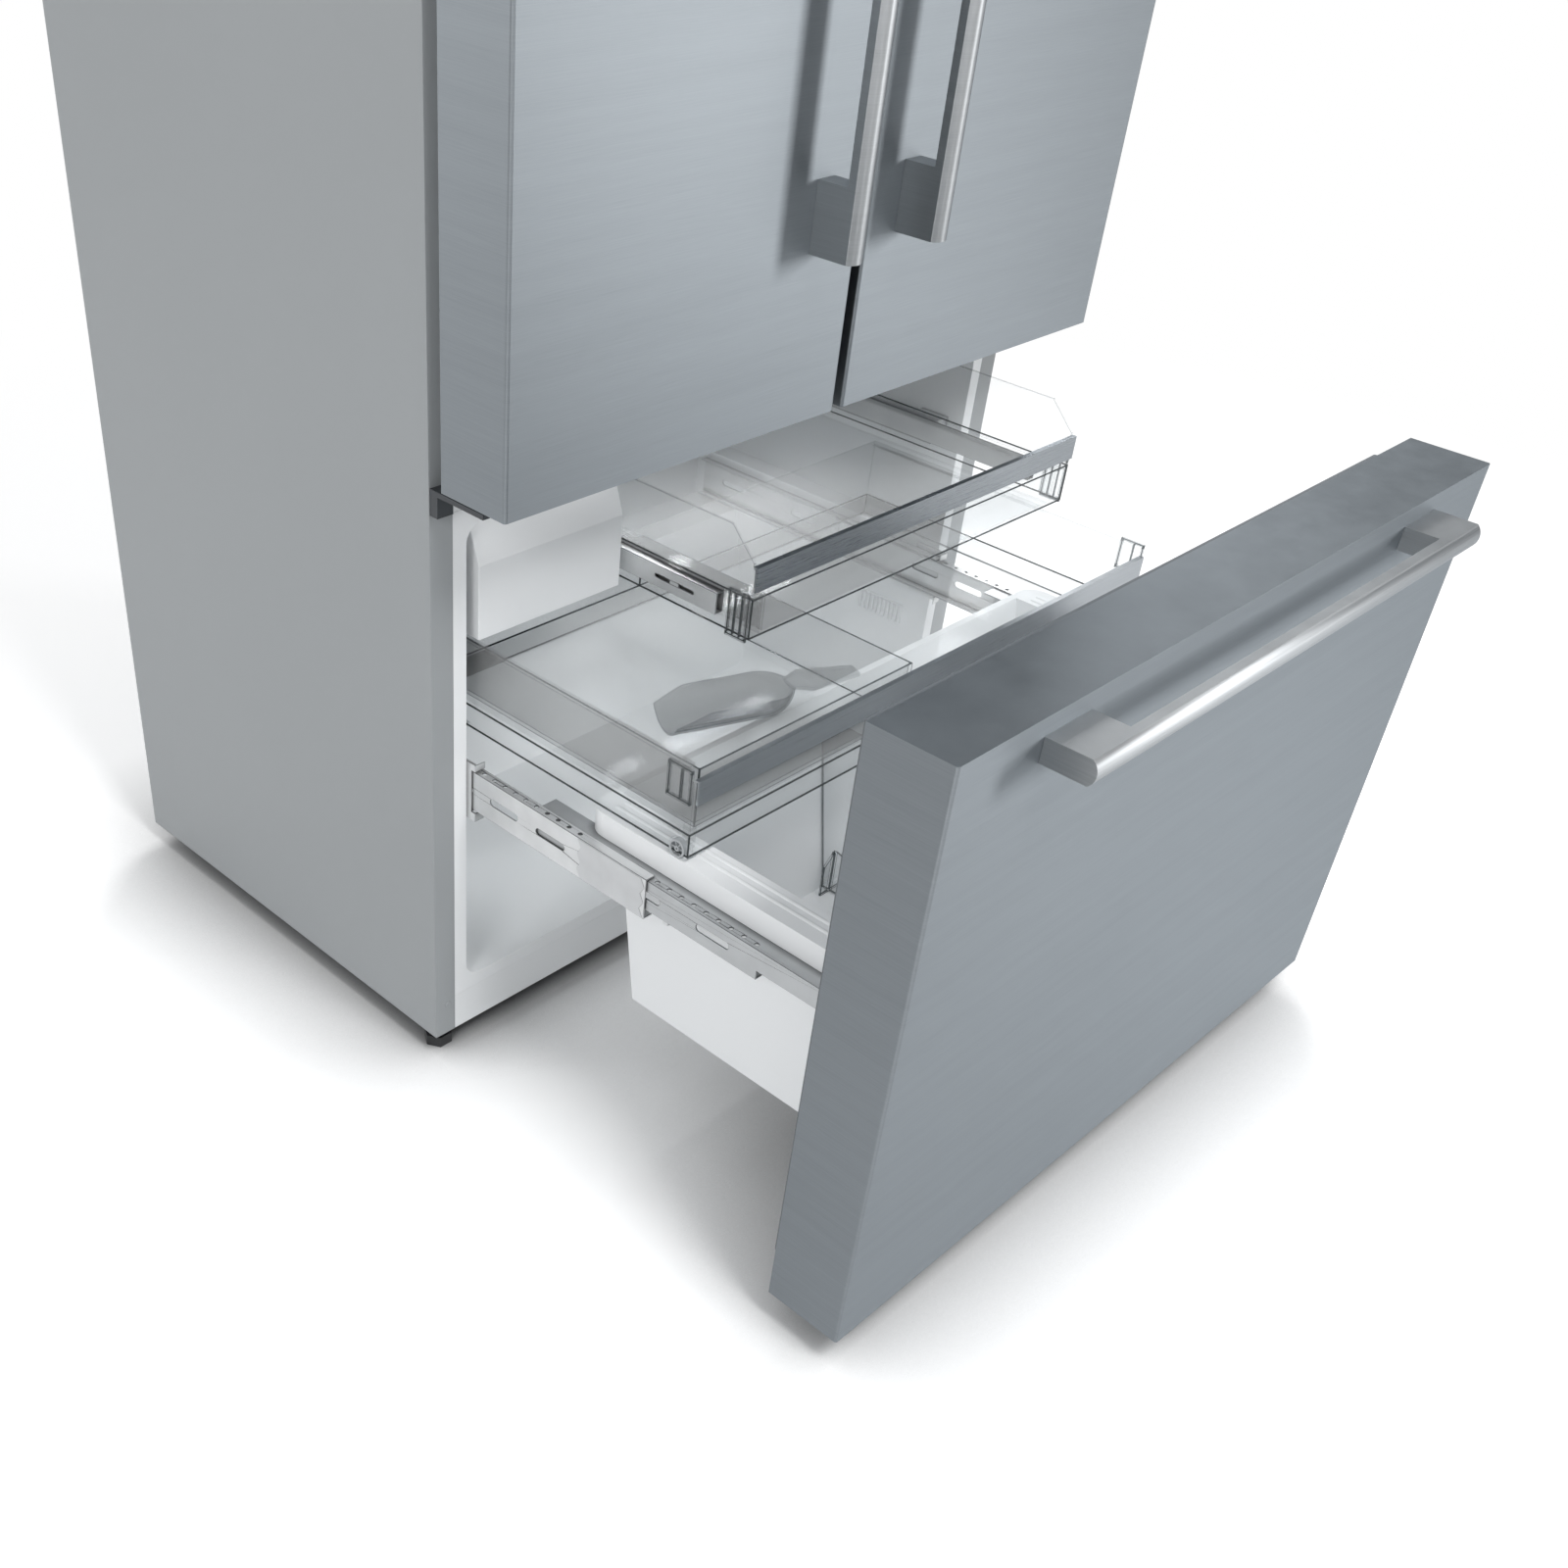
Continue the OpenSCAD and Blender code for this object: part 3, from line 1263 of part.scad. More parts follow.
// Clear divider across the bin: a frame whose back follows the bin's back wall, on a wider foot
divider_x = -30;
divider_drop = 24;
divider_top = rim_z - divider_drop;
divider_back = 3 * slip;
divider_y0 = bin_y0 + bin_t + slip;
divider_z0 = bin_z0 + bin_t + slip;
divider_foot_w = 36;
divider_foot_h = 54;
divider_foot_in = 12;
divider_cut = 14;
divider_open = 60;
divider_y1 = bin_y1 - bin_t - divider_back;
divider_lean = bin_lean * (divider_top - divider_z0) / bin_h;

module divider_side(grow) polygon([
    [divider_y0 + grow, divider_z0 + grow],
    [divider_y1 - grow, divider_z0 + grow],
    [divider_y1 - grow + divider_lean, divider_top - grow],
    [divider_y0 + grow, divider_top - grow]]);

module bin_divider() color("#dfeef2") {
    difference() {
        along_x(divider_x - clear_t / 2, divider_x + clear_t / 2) divider_side(0);
        along_x(divider_x - over, divider_x + over) divider_side(divider_open);
    }
    translate([divider_x, bin_y1 - divider_foot_in, divider_z0]) upright(-clear_t, 0) polygon([
        [-divider_foot_w / 2, 0],
        [divider_foot_w / 2, 0],
        [divider_foot_w / 2, divider_foot_h - divider_cut],
        [divider_foot_w / 2 - divider_cut, divider_foot_h],
        [divider_cut - divider_foot_w / 2, divider_foot_h],
        [-divider_foot_w / 2, divider_foot_h - divider_cut]]);
}

// Middle tray: walls that reach below its floor, notched for the rollers
mid_front = 5;
mid_y0 = -mid_out - mid_front;
mid_y1 = cover_y - mid_back - mid_out;
mid_lip = 10;
roller_w = 12;
roller_out = 1;
roller_in = 14;
roller_gap = 2;
roller_x = mid_x - roller_w / 2 + roller_out;
roller_y = mid_y0 + roller_in;
roller_z = rim_z + roller_r + slip;
roller_axle_r = 2.5;
hub_in = 9;
mid_front_drop = 15;
mid_front_top = mid_top - mid_front_drop;

module mid_inside(z0, z1)
    box([-mid_x + clear_t, mid_y0 + clear_t, z0], [mid_x - clear_t, mid_y1 - clear_t, z1]);

module middle_tray() color("#dfeef2") {
    difference() {
        box([-mid_x, mid_y0, mid_z0], [mid_x, mid_y1, mid_top]);
        mid_inside(mid_floor + clear_t, mid_top + over);
        mid_inside(mid_z0 - over, mid_floor);
        box([-mid_x - over, mid_y0 - over, mid_front_top],
            [mid_x + over, mid_y0 + clear_t + over, mid_top + over]);
        both_sides() translate([mid_x - 2 * over, roller_y, roller_z]) rotate([0, 90, 0])
            cylinder(r = roller_r + roller_gap, h = 4 * over);
    }
    // Rims turned in along the sides, and the lugs that carry the rollers' stub axles
    both_sides() {
        box([mid_x - mid_lip, mid_y0 + mid_lip, mid_top - clear_t],
            [mid_x - clear_t / 2, mid_y1 - clear_t / 2, mid_top]);
        difference() {
            box([roller_x - roller_w / 2 - hub_in, roller_y - roller_r / 2, roller_z - roller_r / 2],
                [roller_x - roller_w / 2 - 2 * slip, roller_y + roller_r / 2, mid_floor]);
            translate([roller_x - roller_w - 2 * hub_in, roller_y, roller_z]) rotate([0, 90, 0])
                cylinder(r = roller_axle_r + run_gap, h = 2 * roller_w + 2 * hub_in);
        }
    }
}

module tray_rollers() color("#cfd6da") both_sides()
    translate([roller_x, roller_y, roller_z]) rotate([0, 90, 0]) {
        cylinder(r = roller_r, h = roller_w, center = true);
        translate([0, 0, -roller_w / 2 - hub_in]) cylinder(r = roller_axle_r, h = roller_w / 2 + hub_in);
    }

trim_t = 2.5;
trim_end = 4;
trim_over = 2;
mid_trim_top = mid_front_top + trim_over;

module middle_tray_trim() color("#9ba3a9") {
    box([-mid_x + trim_end, mid_y0 - trim_t - slip, mid_trim_top - mid_trim_h],
        [mid_x, mid_y0 - slip, mid_trim_top]);
    box([-mid_x + trim_end, mid_y0 - slip, mid_front_top + slip], [mid_x, mid_y0 + clear_t, mid_trim_top]);
}

ice_bin_t = 2.5;
ice_bin_gap = 2;
ice_bin_side = 1;
ice_bin_drop = 6;
ice_bin_y0 = mid_y0 + clear_t + ice_bin_gap;
ice_bin_y1 = mid_y1 - clear_t - ice_bin_gap;
ice_bin_x0 = -mid_x + mid_lip + ice_bin_side;
ice_bin_x1 = ice_bin_x0 + ice_bin_w;

module ice_bin() color("#dfeef2") difference() {
    box([ice_bin_x0, ice_bin_y0, mid_floor + clear_t + slip],
        [ice_bin_x1, ice_bin_y1, mid_top - ice_bin_drop]);
    box([ice_bin_x0 + ice_bin_t, ice_bin_y0 + ice_bin_t, mid_floor + clear_t + slip + ice_bin_t],
        [ice_bin_x1 - ice_bin_t, ice_bin_y1 - ice_bin_t, mid_top + over]);
}

// Ice scoop lying in the ice bin: a trough with a round back and a flat tapered grip
scoop_r = 32;
scoop_t = 2;
scoop_l = 112;
scoop_nose = 46;
grip_l = 82;
grip_w0 = 40;
grip_w1 = 18;
grip_t = 4;
scoop_side = 101;
scoop_front = 142;
scoop_x = ice_bin_x0 + scoop_side;
scoop_y = mid_y0 + scoop_front;
scoop_z = mid_floor + clear_t + ice_bin_t + 2 * slip + scoop_r;
scoop_turn = -20;

module scoop_form(r) {
    rotate([0, 90, 0]) cylinder(r = r, h = scoop_l);
    translate([scoop_l, 0, 0]) sphere(r);
}

module ice_scoop() color("#c9d2d6")
    translate([scoop_x, scoop_y, scoop_z]) rotate([0, 0, scoop_turn]) {
        difference() {
            scoop_form(scoop_r);
            scoop_form(scoop_r - scoop_t);
            box([-over, -2 * scoop_r, 0], [2 * scoop_l, 2 * scoop_r, 2 * scoop_r]);
            rotate([90, 0, 0]) linear_extrude(4 * scoop_r, center = true)
                polygon([[-over, -scoop_r / 2], [scoop_nose, over], [-over, over]]);
            translate([-over, 0, 0]) rotate([0, 90, 0]) cylinder(r = scoop_r - scoop_t, h = 2 * over);
        }
        translate([scoop_l + scoop_r - 2 * scoop_t, 0, -grip_t]) linear_extrude(grip_t)
            polygon([[0, -grip_w0 / 4], [grip_l / 4, -grip_w0 / 2], [grip_l, -grip_w1 / 2],
                [grip_l, grip_w1 / 2], [grip_l / 4, grip_w0 / 2], [0, grip_w0 / 4]]);
    }

// Upper tray: a basin whose ledges rest on the slides, with tall clear sides and a full-width front
up_front = 10;
up_y0 = -up_out - up_front;
up_y1 = cover_y - up_back - up_out;
up_trim_top = up_ledge + up_front_h;
up_step = 20;
up_wing = 30;
up_slope = 36;

module upper_tray() color("#dfeef2") {
    difference() {
        union() {
            box([up_x0 + up_step, up_y0, up_z0], [up_x1 - up_step, up_y1, up_ledge]);
            box([up_x0, up_y0, up_ledge - clear_t], [up_x1, up_y1, up_top]);
            box([up_x0, up_y0, up_z0], [up_x1, up_y0 + clear_t, up_ledge]);
            for (x = [up_x0, up_x1 - clear_t])
                box([x, up_y0, up_z0 + clear_t], [x + clear_t, up_y0 + up_wing, up_ledge]);
        }
        box([up_x0 + up_step + clear_t, up_y0 + clear_t, up_z0 + clear_t],
            [up_x1 - up_step - clear_t, up_y1 - clear_t, up_top + over]);
        box([up_x0 + clear_t, up_y0 + clear_t, up_ledge], [up_x1 - clear_t, up_y1 - clear_t, up_top + over]);
        // Front lower than the sides, which slope down to it
        along_x(up_x0 - over, up_x1 + over) polygon([
            [up_y0 - over, up_trim_top],
            [up_y0 + clear_t + slip, up_trim_top],
            [up_y0 + clear_t + slip, up_trim_top + 2 * trim_t],
            [up_y0 + up_slope, up_top],
            [up_y0 + up_slope, up_top + over],
            [up_y0 - over, up_top + over]]);
    }
}

module upper_tray_trim() color("#9ba3a9") {
    box([up_x0, up_y0 - trim_t - slip, up_trim_top - up_trim_h],
        [up_x1, up_y0 - slip, up_trim_top + trim_t + slip]);
    box([up_x0, up_y0 - slip, up_trim_top + slip], [up_x1, up_y0 + clear_t, up_trim_top + trim_t + slip]);
}

in_frame() cabinet_wrapper();
in_frame() back_panel();
in_frame() base_pan();
in_frame() base_rail();
in_frame() mullion_rail();
in_frame() fridge_liner();
in_frame() freezer_liner();
in_frame() cabinet_foam();
in_frame() compressor();
in_frame() condenser();
in_frame() condenser_fan();
in_frame() rear_cover();
in_frame() power_inlet();
in_frame() evaporator();
in_frame() evaporator_cover();
in_frame() evaporator_fan();
in_frame() fridge_duct();
in_frame() front_feet();
in_frame() rear_rollers();
in_frame() door_hinges();
in_frame() hinge_covers();
in_frame() shelf_glasses();
in_frame() shelf_frames();
in_frame() crisper_left();
in_frame() crisper_right();
in_frame() deli_drawer();
in_frame() control_panel();
in_frame() ice_maker();
in_frame() ice_maker_cover();
in_frame() fixed_rails();
in_frame() middle_rails();
in_frame() tray_rails();
in_frame() left_door_skin();
in_frame() left_door_foam();
in_frame() left_door_liner();
in_frame() left_door_gasket();
in_frame() left_door_handle();
in_frame() left_door_shelves();
in_frame() mullion_flap();
in_frame() right_door_skin();
in_frame() right_door_foam();
in_frame() right_door_liner();
in_frame() right_door_gasket();
in_frame() right_door_handle();
in_frame() right_door_shelves();
in_frame() drawer_skin();
in_frame() drawer_foam();
in_frame() drawer_liner();
in_frame() drawer_gasket();
in_frame() drawer_handle();
in_frame() drawer_rails();
in_frame() freezer_bin();
in_frame() bin_divider();
in_frame() middle_tray();
in_frame() middle_tray_trim();
in_frame() ice_bin();
in_frame() ice_scoop();
in_frame() tray_rollers();
in_frame() upper_tray();
in_frame() upper_tray_trim();
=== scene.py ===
import math

import bpy
from mathutils import Matrix, Vector


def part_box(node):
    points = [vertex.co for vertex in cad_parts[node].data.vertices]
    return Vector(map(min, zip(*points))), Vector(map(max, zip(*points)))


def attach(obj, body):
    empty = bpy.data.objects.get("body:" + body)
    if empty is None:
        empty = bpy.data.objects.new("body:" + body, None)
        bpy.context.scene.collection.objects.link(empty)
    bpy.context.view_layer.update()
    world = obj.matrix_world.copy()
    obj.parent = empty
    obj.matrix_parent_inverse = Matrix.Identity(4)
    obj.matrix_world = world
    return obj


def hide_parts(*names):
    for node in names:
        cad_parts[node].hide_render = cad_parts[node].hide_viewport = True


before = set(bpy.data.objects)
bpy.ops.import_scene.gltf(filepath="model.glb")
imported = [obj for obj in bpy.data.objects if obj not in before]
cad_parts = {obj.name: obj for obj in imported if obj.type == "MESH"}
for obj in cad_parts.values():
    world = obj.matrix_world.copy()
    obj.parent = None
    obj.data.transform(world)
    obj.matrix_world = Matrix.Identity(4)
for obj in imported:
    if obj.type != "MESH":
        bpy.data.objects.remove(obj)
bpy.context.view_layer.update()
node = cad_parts
scene = bpy.context.scene
scene.view_settings.view_transform = "Standard"

# Camera.
# It stands off the appliance's front left corner at chest height and looks down into the open drawer.
# The lens shift puts the centre of the view left of and below the middle of the picture.
camera_at = Vector((-1.397, -1.1155, 1.324))
camera_yaw, camera_pitch, camera_roll = (math.radians(a) for a in (46.06, 39.0, 3.36))
focal_pixels, image_pixels, sensor = 1731, 1600, 36.0
centre_x, centre_y = 600, 1000

look = Vector((
    math.sin(camera_yaw) * math.cos(camera_pitch),
    math.cos(camera_yaw) * math.cos(camera_pitch),
    -math.sin(camera_pitch)))
level = Vector((math.cos(camera_yaw), -math.sin(camera_yaw), 0))
above = level.cross(look)
across = level * math.cos(camera_roll) + above * math.sin(camera_roll)
upward = above * math.cos(camera_roll) - level * math.sin(camera_roll)
camera = bpy.data.objects.new("camera", bpy.data.cameras.new("camera"))
camera.data.sensor_width = sensor
camera.data.lens = focal_pixels / image_pixels * sensor
camera.data.shift_x = 0.5 - centre_x / image_pixels
camera.data.shift_y = centre_y / image_pixels - 0.5
camera.data.clip_end = 100
turned = Matrix((across, upward, -look)).transposed().to_4x4()
camera.matrix_world = Matrix.Translation(camera_at) @ turned
scene.collection.objects.link(camera)
scene.camera = camera


# Floor and light.
# A pale sweep of paper, bright to the eye and still darkened by the appliance's shadow, under an even
# white sky. Close to the appliance the paper's colour is painted darker too: a painted contact shadow.
# A large lamp hangs high in front and a tall one stands far off at the front right. Three more light the
# left side, the left rear and the right rear.
class Field:
    """A value that varies over a surface. Sums and products of fields read as plain arithmetic."""

    def __init__(self, finish, socket):
        self.finish, self.socket = finish, socket

    def _maths(self, operation, first, second):
        return self.finish.add("Math", {"operation": operation}, {0: first, 1: second})

    def __add__(self, other):
        return self._maths("ADD", self, other)

    def __radd__(self, other):
        return self._maths("ADD", other, self)

    def __sub__(self, other):
        return self._maths("SUBTRACT", self, other)

    def __mul__(self, other):
        return self._maths("MULTIPLY", self, other)

    def __truediv__(self, other):
        return self._maths("DIVIDE", self, other)

    def __pow__(self, other):
        return self._maths("POWER", self, other)

    def __gt__(self, other):
        return self._maths("GREATER_THAN", self, other)

    def clamped(self):
        """The value held between 0 and 1."""
        return self.finish.add("Clamp", {}, {"Value": self})


class Finish:
    """A surface finish being mixed: its material, its shader and the nodes that feed it."""

    def __init__(self, name, **shader_values):
        self.material = bpy.data.materials.new(name)
        self.material.use_nodes = True
        self.tree = self.material.node_tree
        self.shader = self.tree.nodes["Principled BSDF"]
        self.output = self.tree.nodes["Material Output"]
        for socket, value in shader_values.items():
            self.feed(socket.replace("_", " "), value)

    def add(self, kind, settings, inputs, output=0):
        """One node of a kind: its settings are set first, then its sockets get values or links."""
        made = self.tree.nodes.new("ShaderNode" + kind)
        for key, value in settings.items():
            setattr(made, key, value)
        for key, value in inputs.items():
            self._join(made.inputs[key], value)
        return Field(self, made.outputs[output])

    def _join(self, socket, value):
        if isinstance(value, Field):
            self.tree.links.new(value.socket, socket)
        elif isinstance(value, tuple) and len(value) == 3 and len(socket.default_value) == 4:
            socket.default_value = (*value, 1)
        else:
            socket.default_value = value

    def feed(self, socket, value):
        """Sets or links a socket of the surface's own shader."""
        self._join(self.shader.inputs[socket], value)

    def place(self, stretch=(1, 1, 1)):
        """The point on the piece, in metres, with each axis stretched."""
        point = self.add("TexCoord", {}, {}, output="Object")
        return self.add("VectorMath", {"operation": "MULTIPLY"}, {0: point, 1: stretch})

    def cloud(self, scale, detail=3.0, stretch=(1, 1, 1), rough=0.5):
        """Soft random value between 0 and 1, in features of 1 / scale metres."""
        return self.add("TexNoise", {}, {
            "Vector": self.place(stretch), "Scale": scale, "Detail": detail, "Roughness": rough})

    def mixed(self, share, first, second):
        """A colour between two, by a varying share."""
        return self.add("Mix", {"data_type": "RGBA"}, {0: share, 6: first, 7: second}, output=2)

    def openness(self, reach, fall, samples):
        """How open the surface is to its surroundings: 1 in the clear, less in a recess."""
        return self.add("AmbientOcclusion", {"samples": samples}, {"Distance": reach}, output="AO") ** fall

    def own(self):
        """The surface's own shader, ready to be mixed with another."""
        return Field(self, self.shader.outputs[0])

    def show(self, share, first, second):
        """Feeds the surface with a mix of two shaders."""
        both = self.add("MixShader", {}, {0: share, 1: first, 2: second})
        self.tree.links.new(both.socket, self.output.inputs["Surface"])

    def relief(self, height, strength, depth):
        """Feeds a fine relief to the own shader's normal."""
        bumped = self.add("Bump", {}, {"Height": height, "Strength": strength, "Distance": depth})
        self.feed("Normal", bumped)


def mesh_piece(name, verts, faces, smooth=False):
    """A new mesh object made of these points and faces."""
    mesh = bpy.data.meshes.new(name)
    mesh.from_pydata([tuple(v) for v in verts], [], faces)
    mesh.validate()
    mesh.update()
    if smooth:
        mesh.shade_smooth()
    piece = bpy.data.objects.new(name, mesh)
    scene.collection.objects.link(piece)
    return piece


def seen_ray(finish):
    """1 for rays from the camera or through glass, less for those off metal, 0 for light itself."""
    rays = [finish.add("LightPath", {}, {}, output=f"Is {kind} Ray")
            for kind in ("Camera", "Glossy", "Transmission")]
    return (rays[0] + rays[1] * mirrored_glow + rays[2]).clamped()


floor_reach, floor_radius, wall_height = 14.0, 3.0, 11.0
paper_white, paper_seen = (0.80, 0.805, 0.81), (1.2, 1.2, 1.2)
paper_shaded, shade_reach, shade_fall = (0.04, 0.043, 0.046), 0.22, 1.3
shade_samples = 12
glow_from, glow_over = 0.95, 1.6
mirrored_glow = 0.5
bend_steps = 12
fibre_scale, fibre_rough, fibre_drift = 300, 0.85, 0.1


def paper_sweep():
    """Floor that curves up into a wall behind the appliance."""
    line = [(-floor_reach, 0.0)]
    for step in range(bend_steps + 1):
        turn = math.radians(90 * step / bend_steps)
        line.append((floor_reach - floor_radius + floor_radius * math.sin(turn),
                     floor_radius - floor_radius * math.cos(turn)))
    line.append((floor_reach, wall_height))
    verts = [(x, y, z) for x in (-floor_reach, floor_reach) for y, z in line]
    count = len(line)
    faces = [(i, i + 1, i + 1 + count, i + count) for i in range(count - 1)]
    return mesh_piece("paper_sweep", verts, faces, smooth=True)


paper = Finish("paper")
eye = paper.add("LightPath", {}, {}, output="Is Camera Ray")
# Where the appliance hems the paper in, its colour is painted darker: a painted contact shadow.
shaded = paper.mixed(paper.openness(shade_reach, shade_fall, shade_samples), paper_shaded, paper_seen)
paper.feed("Base Color", paper.mixed(eye, paper_white, shaded))
paper.feed("Roughness", fibre_rough + paper.cloud(fibre_scale, detail=2.0) * fibre_drift)
away = paper.add("VectorMath", {"operation": "LENGTH"}, {0: paper.place()}, output="Value")
glow = paper.add("Emission", {}, {"Color": (1.0, 1.0, 1.0), "Strength": 1.0})
paper.show(((away - glow_from) / glow_over).clamped() * seen_ray(paper), paper.own(), glow)
sweep = paper_sweep()
sweep.data.materials.append(paper.material)

sky_tint, sky_level = (0.97, 0.985, 1.0, 1), 0.42
seen_tint, seen_level = (1.0, 1.0, 1.0, 1), 1.0
sky = bpy.data.worlds.new("studio")
sky.use_nodes = True
sky_nodes, sky_links = sky.node_tree.nodes, sky.node_tree.links
lit = sky_nodes["Background"]
lit.inputs["Color"].default_value, lit.inputs["Strength"].default_value = sky_tint, sky_level
seen = sky_nodes.new("ShaderNodeBackground")
seen.inputs["Color"].default_value, seen.inputs["Strength"].default_value = seen_tint, seen_level
choice, watcher = sky_nodes.new("ShaderNodeMixShader"), sky_nodes.new("ShaderNodeLightPath")
sky_links.new(watcher.outputs["Is Camera Ray"], choice.inputs[0])
sky_links.new(lit.outputs[0], choice.inputs[1])
sky_links.new(seen.outputs[0], choice.inputs[2])
sky_links.new(choice.outputs[0], sky_nodes["World Output"].inputs["Surface"])
scene.world = sky


def lamp(name, at, aim, size, watts, across=None):
    """A soft lamp that faces a point: square, or with a width of its own."""
    light = bpy.data.lights.new(name, "AREA")
    light.size, light.energy = size, watts
    if across:
        light.shape, light.size, light.size_y = "RECTANGLE", across, size
    held = bpy.data.objects.new(name, light)
    held.location = at
    held.visible_camera = False
    held.rotation_euler = (Vector(aim) - Vector(at)).to_track_quat("-Z", "Y").to_euler()
    scene.collection.objects.link(held)


lamp("key", (-0.5, -2.6, 4.2), (0, -0.2, 0.4), 1.5, 125)
lamp("front", (5.3, -5.4, 1.8), (-0.2, -0.4, 0.6), 2.4, 160, across=1.2)
lamp("side", (-3.7, -1.7, 2.8), (0, 0.1, 0.7), 1.2, 54)
lamp("side_back", (-2.5, 2.3, 1.6), (-0.4, 0, 0.8), 0.8, 14)
lamp("back", (3.2, 2.4, 3.0), (0, 0, 0.8), 1.5, 82)

# Painted cabinet.
# The sides, the top and the front flanges are one bent sheet of steel with a satin grey coat. The back
# plate has a duller coat, and the vented cover of the compressor space a darker one.
side_grey, back_grey, cover_grey = (0.335, 0.352, 0.362), (0.33, 0.345, 0.355), (0.25, 0.262, 0.27)
coat_rough, coat_grain, back_rough = 0.42, 1400, 0.5
sheet_edge, sheet_angle = 0.0008, 60


def powder_coat(name, colour, rough=coat_rough, grain=coat_grain):
    """Satin paint with a fine orange peel and a slow drift of tone."""
    finish = Finish(name)
    orange_peel = finish.cloud(grain, detail=1.0)
    wide = finish.cloud(2.5, detail=2.0)
    darker = tuple(c * 0.93 for c in colour)
    finish.feed("Base Color", finish.mixed(wide, darker, colour))
    finish.feed("Roughness", rough + (orange_peel - 0.5) * 0.12)
    finish.relief(orange_peel, 0.12, 0.0004)
    return finish.material


def dress(name, material):
    """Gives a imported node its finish."""
    node[name].data.materials.clear()
    node[name].data.materials.append(material)


def soften(name, width, segments=2, angle=30):
    """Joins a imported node's faces and rounds its edges a little, as bending and moulding do."""
    weld = node[name].modifiers.new("joined", "WELD")
    weld.merge_threshold = 1e-5
    bevel = node[name].modifiers.new("rounded", "BEVEL")
    bevel.width, bevel.segments = width, segments
    bevel.limit_method, bevel.angle_limit = "ANGLE", math.radians(angle)
    bevel.harden_normals = True


cabinet_coat = powder_coat("cabinet_coat", side_grey)
dress("cabinet_wrapper", cabinet_coat)
dress("back_panel", powder_coat("back_coat", back_grey, rough=back_rough))
dress("rear_cover", powder_coat("cover_coat", cover_grey, rough=back_rough))
soften("cabinet_wrapper", sheet_edge, angle=sheet_angle)

# Screws.
# Low domed screws hold the rear cover, and a painted plug, a little smaller, closes the hole in each
# front flange. Each is a turned disc with a cross recess.
screw_r, screw_h, recess_w, recess_l = 0.0048, 0.0016, 0.0012, 0.0052
recess_top_share, recess_floor_share, recess_taper_share = 1.02, 0.3, 0.7


def ring_points(radius, count, height):
    """Points of a level ring round the origin."""
    turns = [2 * math.pi * i / count for i in range(count)]
    return [(radius * math.cos(turn), radius * math.sin(turn), height) for turn in turns]


def screw_head(name, at, facing, radius=screw_r):
    """A low domed head with a cross recess, its back at a point and its top towards facing."""
    count = 32
    dome_shares = [(1.0, 0.0), (1.0, 0.55), (0.9, 0.85), (0.72, 1.0)]
    last = len(dome_shares) - 1
    verts = [p for out, up in dome_shares for p in ring_points(radius * out, count, screw_h * up)]
    faces = []
    for row in range(last):
        low, high = row * count, (row + 1) * count
        faces += [(low + i, low + (i + 1) % count, high + (i + 1) % count, high + i) for i in range(count)]
    faces.append(tuple(range(last * count, (last + 1) * count)))
    faces.append(tuple(reversed(range(count))))
    half, arm = recess_w / 2, recess_l / 2
    cross = [(arm, -half), (arm, half), (half, half), (half, arm), (-half, arm), (-half, half),
             (-arm, half), (-arm, -half), (-half, -half), (-half, -arm), (half, -arm), (half, -half)]
    corners, rim = len(cross), len(verts)
    sunk = rim + corners
    inner = [(x * recess_taper_share, y * recess_taper_share) for x, y in cross]
    verts += [(x, y, screw_h * recess_top_share) for x, y in cross]
    verts += [(x, y, screw_h * recess_floor_share) for x, y in inner]
    faces += [(rim + i, rim + (i + 1) % corners, sunk + (i + 1) % corners, sunk + i) for i in range(corners)]
    faces.append(tuple(sunk + i for i in range(corners)))
    piece = mesh_piece(name, verts, faces)
    turned_to = Vector(facing).to_track_quat("Z", "Y").to_matrix().to_4x4()
    piece.data.transform(Matrix.Translation(at) @ turned_to)
    return piece


# Zinc's recesses are painted darker within this reach: a painted shade.
recess_reach, recess_fall, recess_samples, recess_shade_share = 0.009, 1.5, 8, 0.12


def zinc(name, colour, rough):
    """Zinc-plated steel: fine rolled grain, faint grey clouds, and recesses painted darker as shade."""
    finish = Finish(name, Metallic=0.8)
    clouds = finish.cloud(38, detail=4.0)
    grain = finish.cloud(60, detail=2.0, stretch=(1, 14, 14))
    worn = finish.mixed(clouds, tuple(c * 0.78 for c in colour), colour)
    finish.feed("Base Color", finish.mixed(finish.openness(recess_reach, recess_fall, recess_samples),
                                           tuple(c * recess_shade_share for c in colour), worn))
    finish.feed("Roughness", rough + clouds * 0.14)
    finish.relief(grain, 0.05, 0.0003)
    return finish.material


screw_zinc = zinc("screw_zinc", (0.56, 0.575, 0.585), 0.3)
wrap_lo, wrap_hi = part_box("cabinet_wrapper")
cover_lo, cover_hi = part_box("rear_cover")
screw_in = 0.014
plug_up, plug_in, plug_r = 0.042, 0.018, 0.0042
screws = []
for k, x in enumerate((cover_lo.x + screw_in, 0.0, cover_hi.x - screw_in)):
    for m, z in enumerate((cover_lo.z + screw_in, cover_hi.z - screw_in)):
        screws.append(screw_head(f"cover_screw_{k}_{m}", (x, cover_hi.y, z), (0, 1, 0)))
for screw in screws:
    screw.data.materials.append(screw_zinc)
    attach(screw, "cabinet")
for side, x in (("left", wrap_lo.x + plug_in), ("right", wrap_hi.x - plug_in)):
    plug = screw_head(f"flange_plug_{side}", (x, wrap_lo.y, wrap_lo.z + plug_up), (0, -1, 0), plug_r)
    plug.data.materials.append(cabinet_coat)
    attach(plug, "cabinet")

# Base, rails and feet.
# The base pan is galvanised sheet with ears for the rear rollers. White painted rails close the front
# below and between the compartments. The feet are black moulded hexagons.
pan_edge, rail_round, foot_round = 0.0004, 0.001, 0.001
dress("base_pan", zinc("galvanised", (0.5, 0.51, 0.515), 0.42))
soften("base_pan", pan_edge, 1)


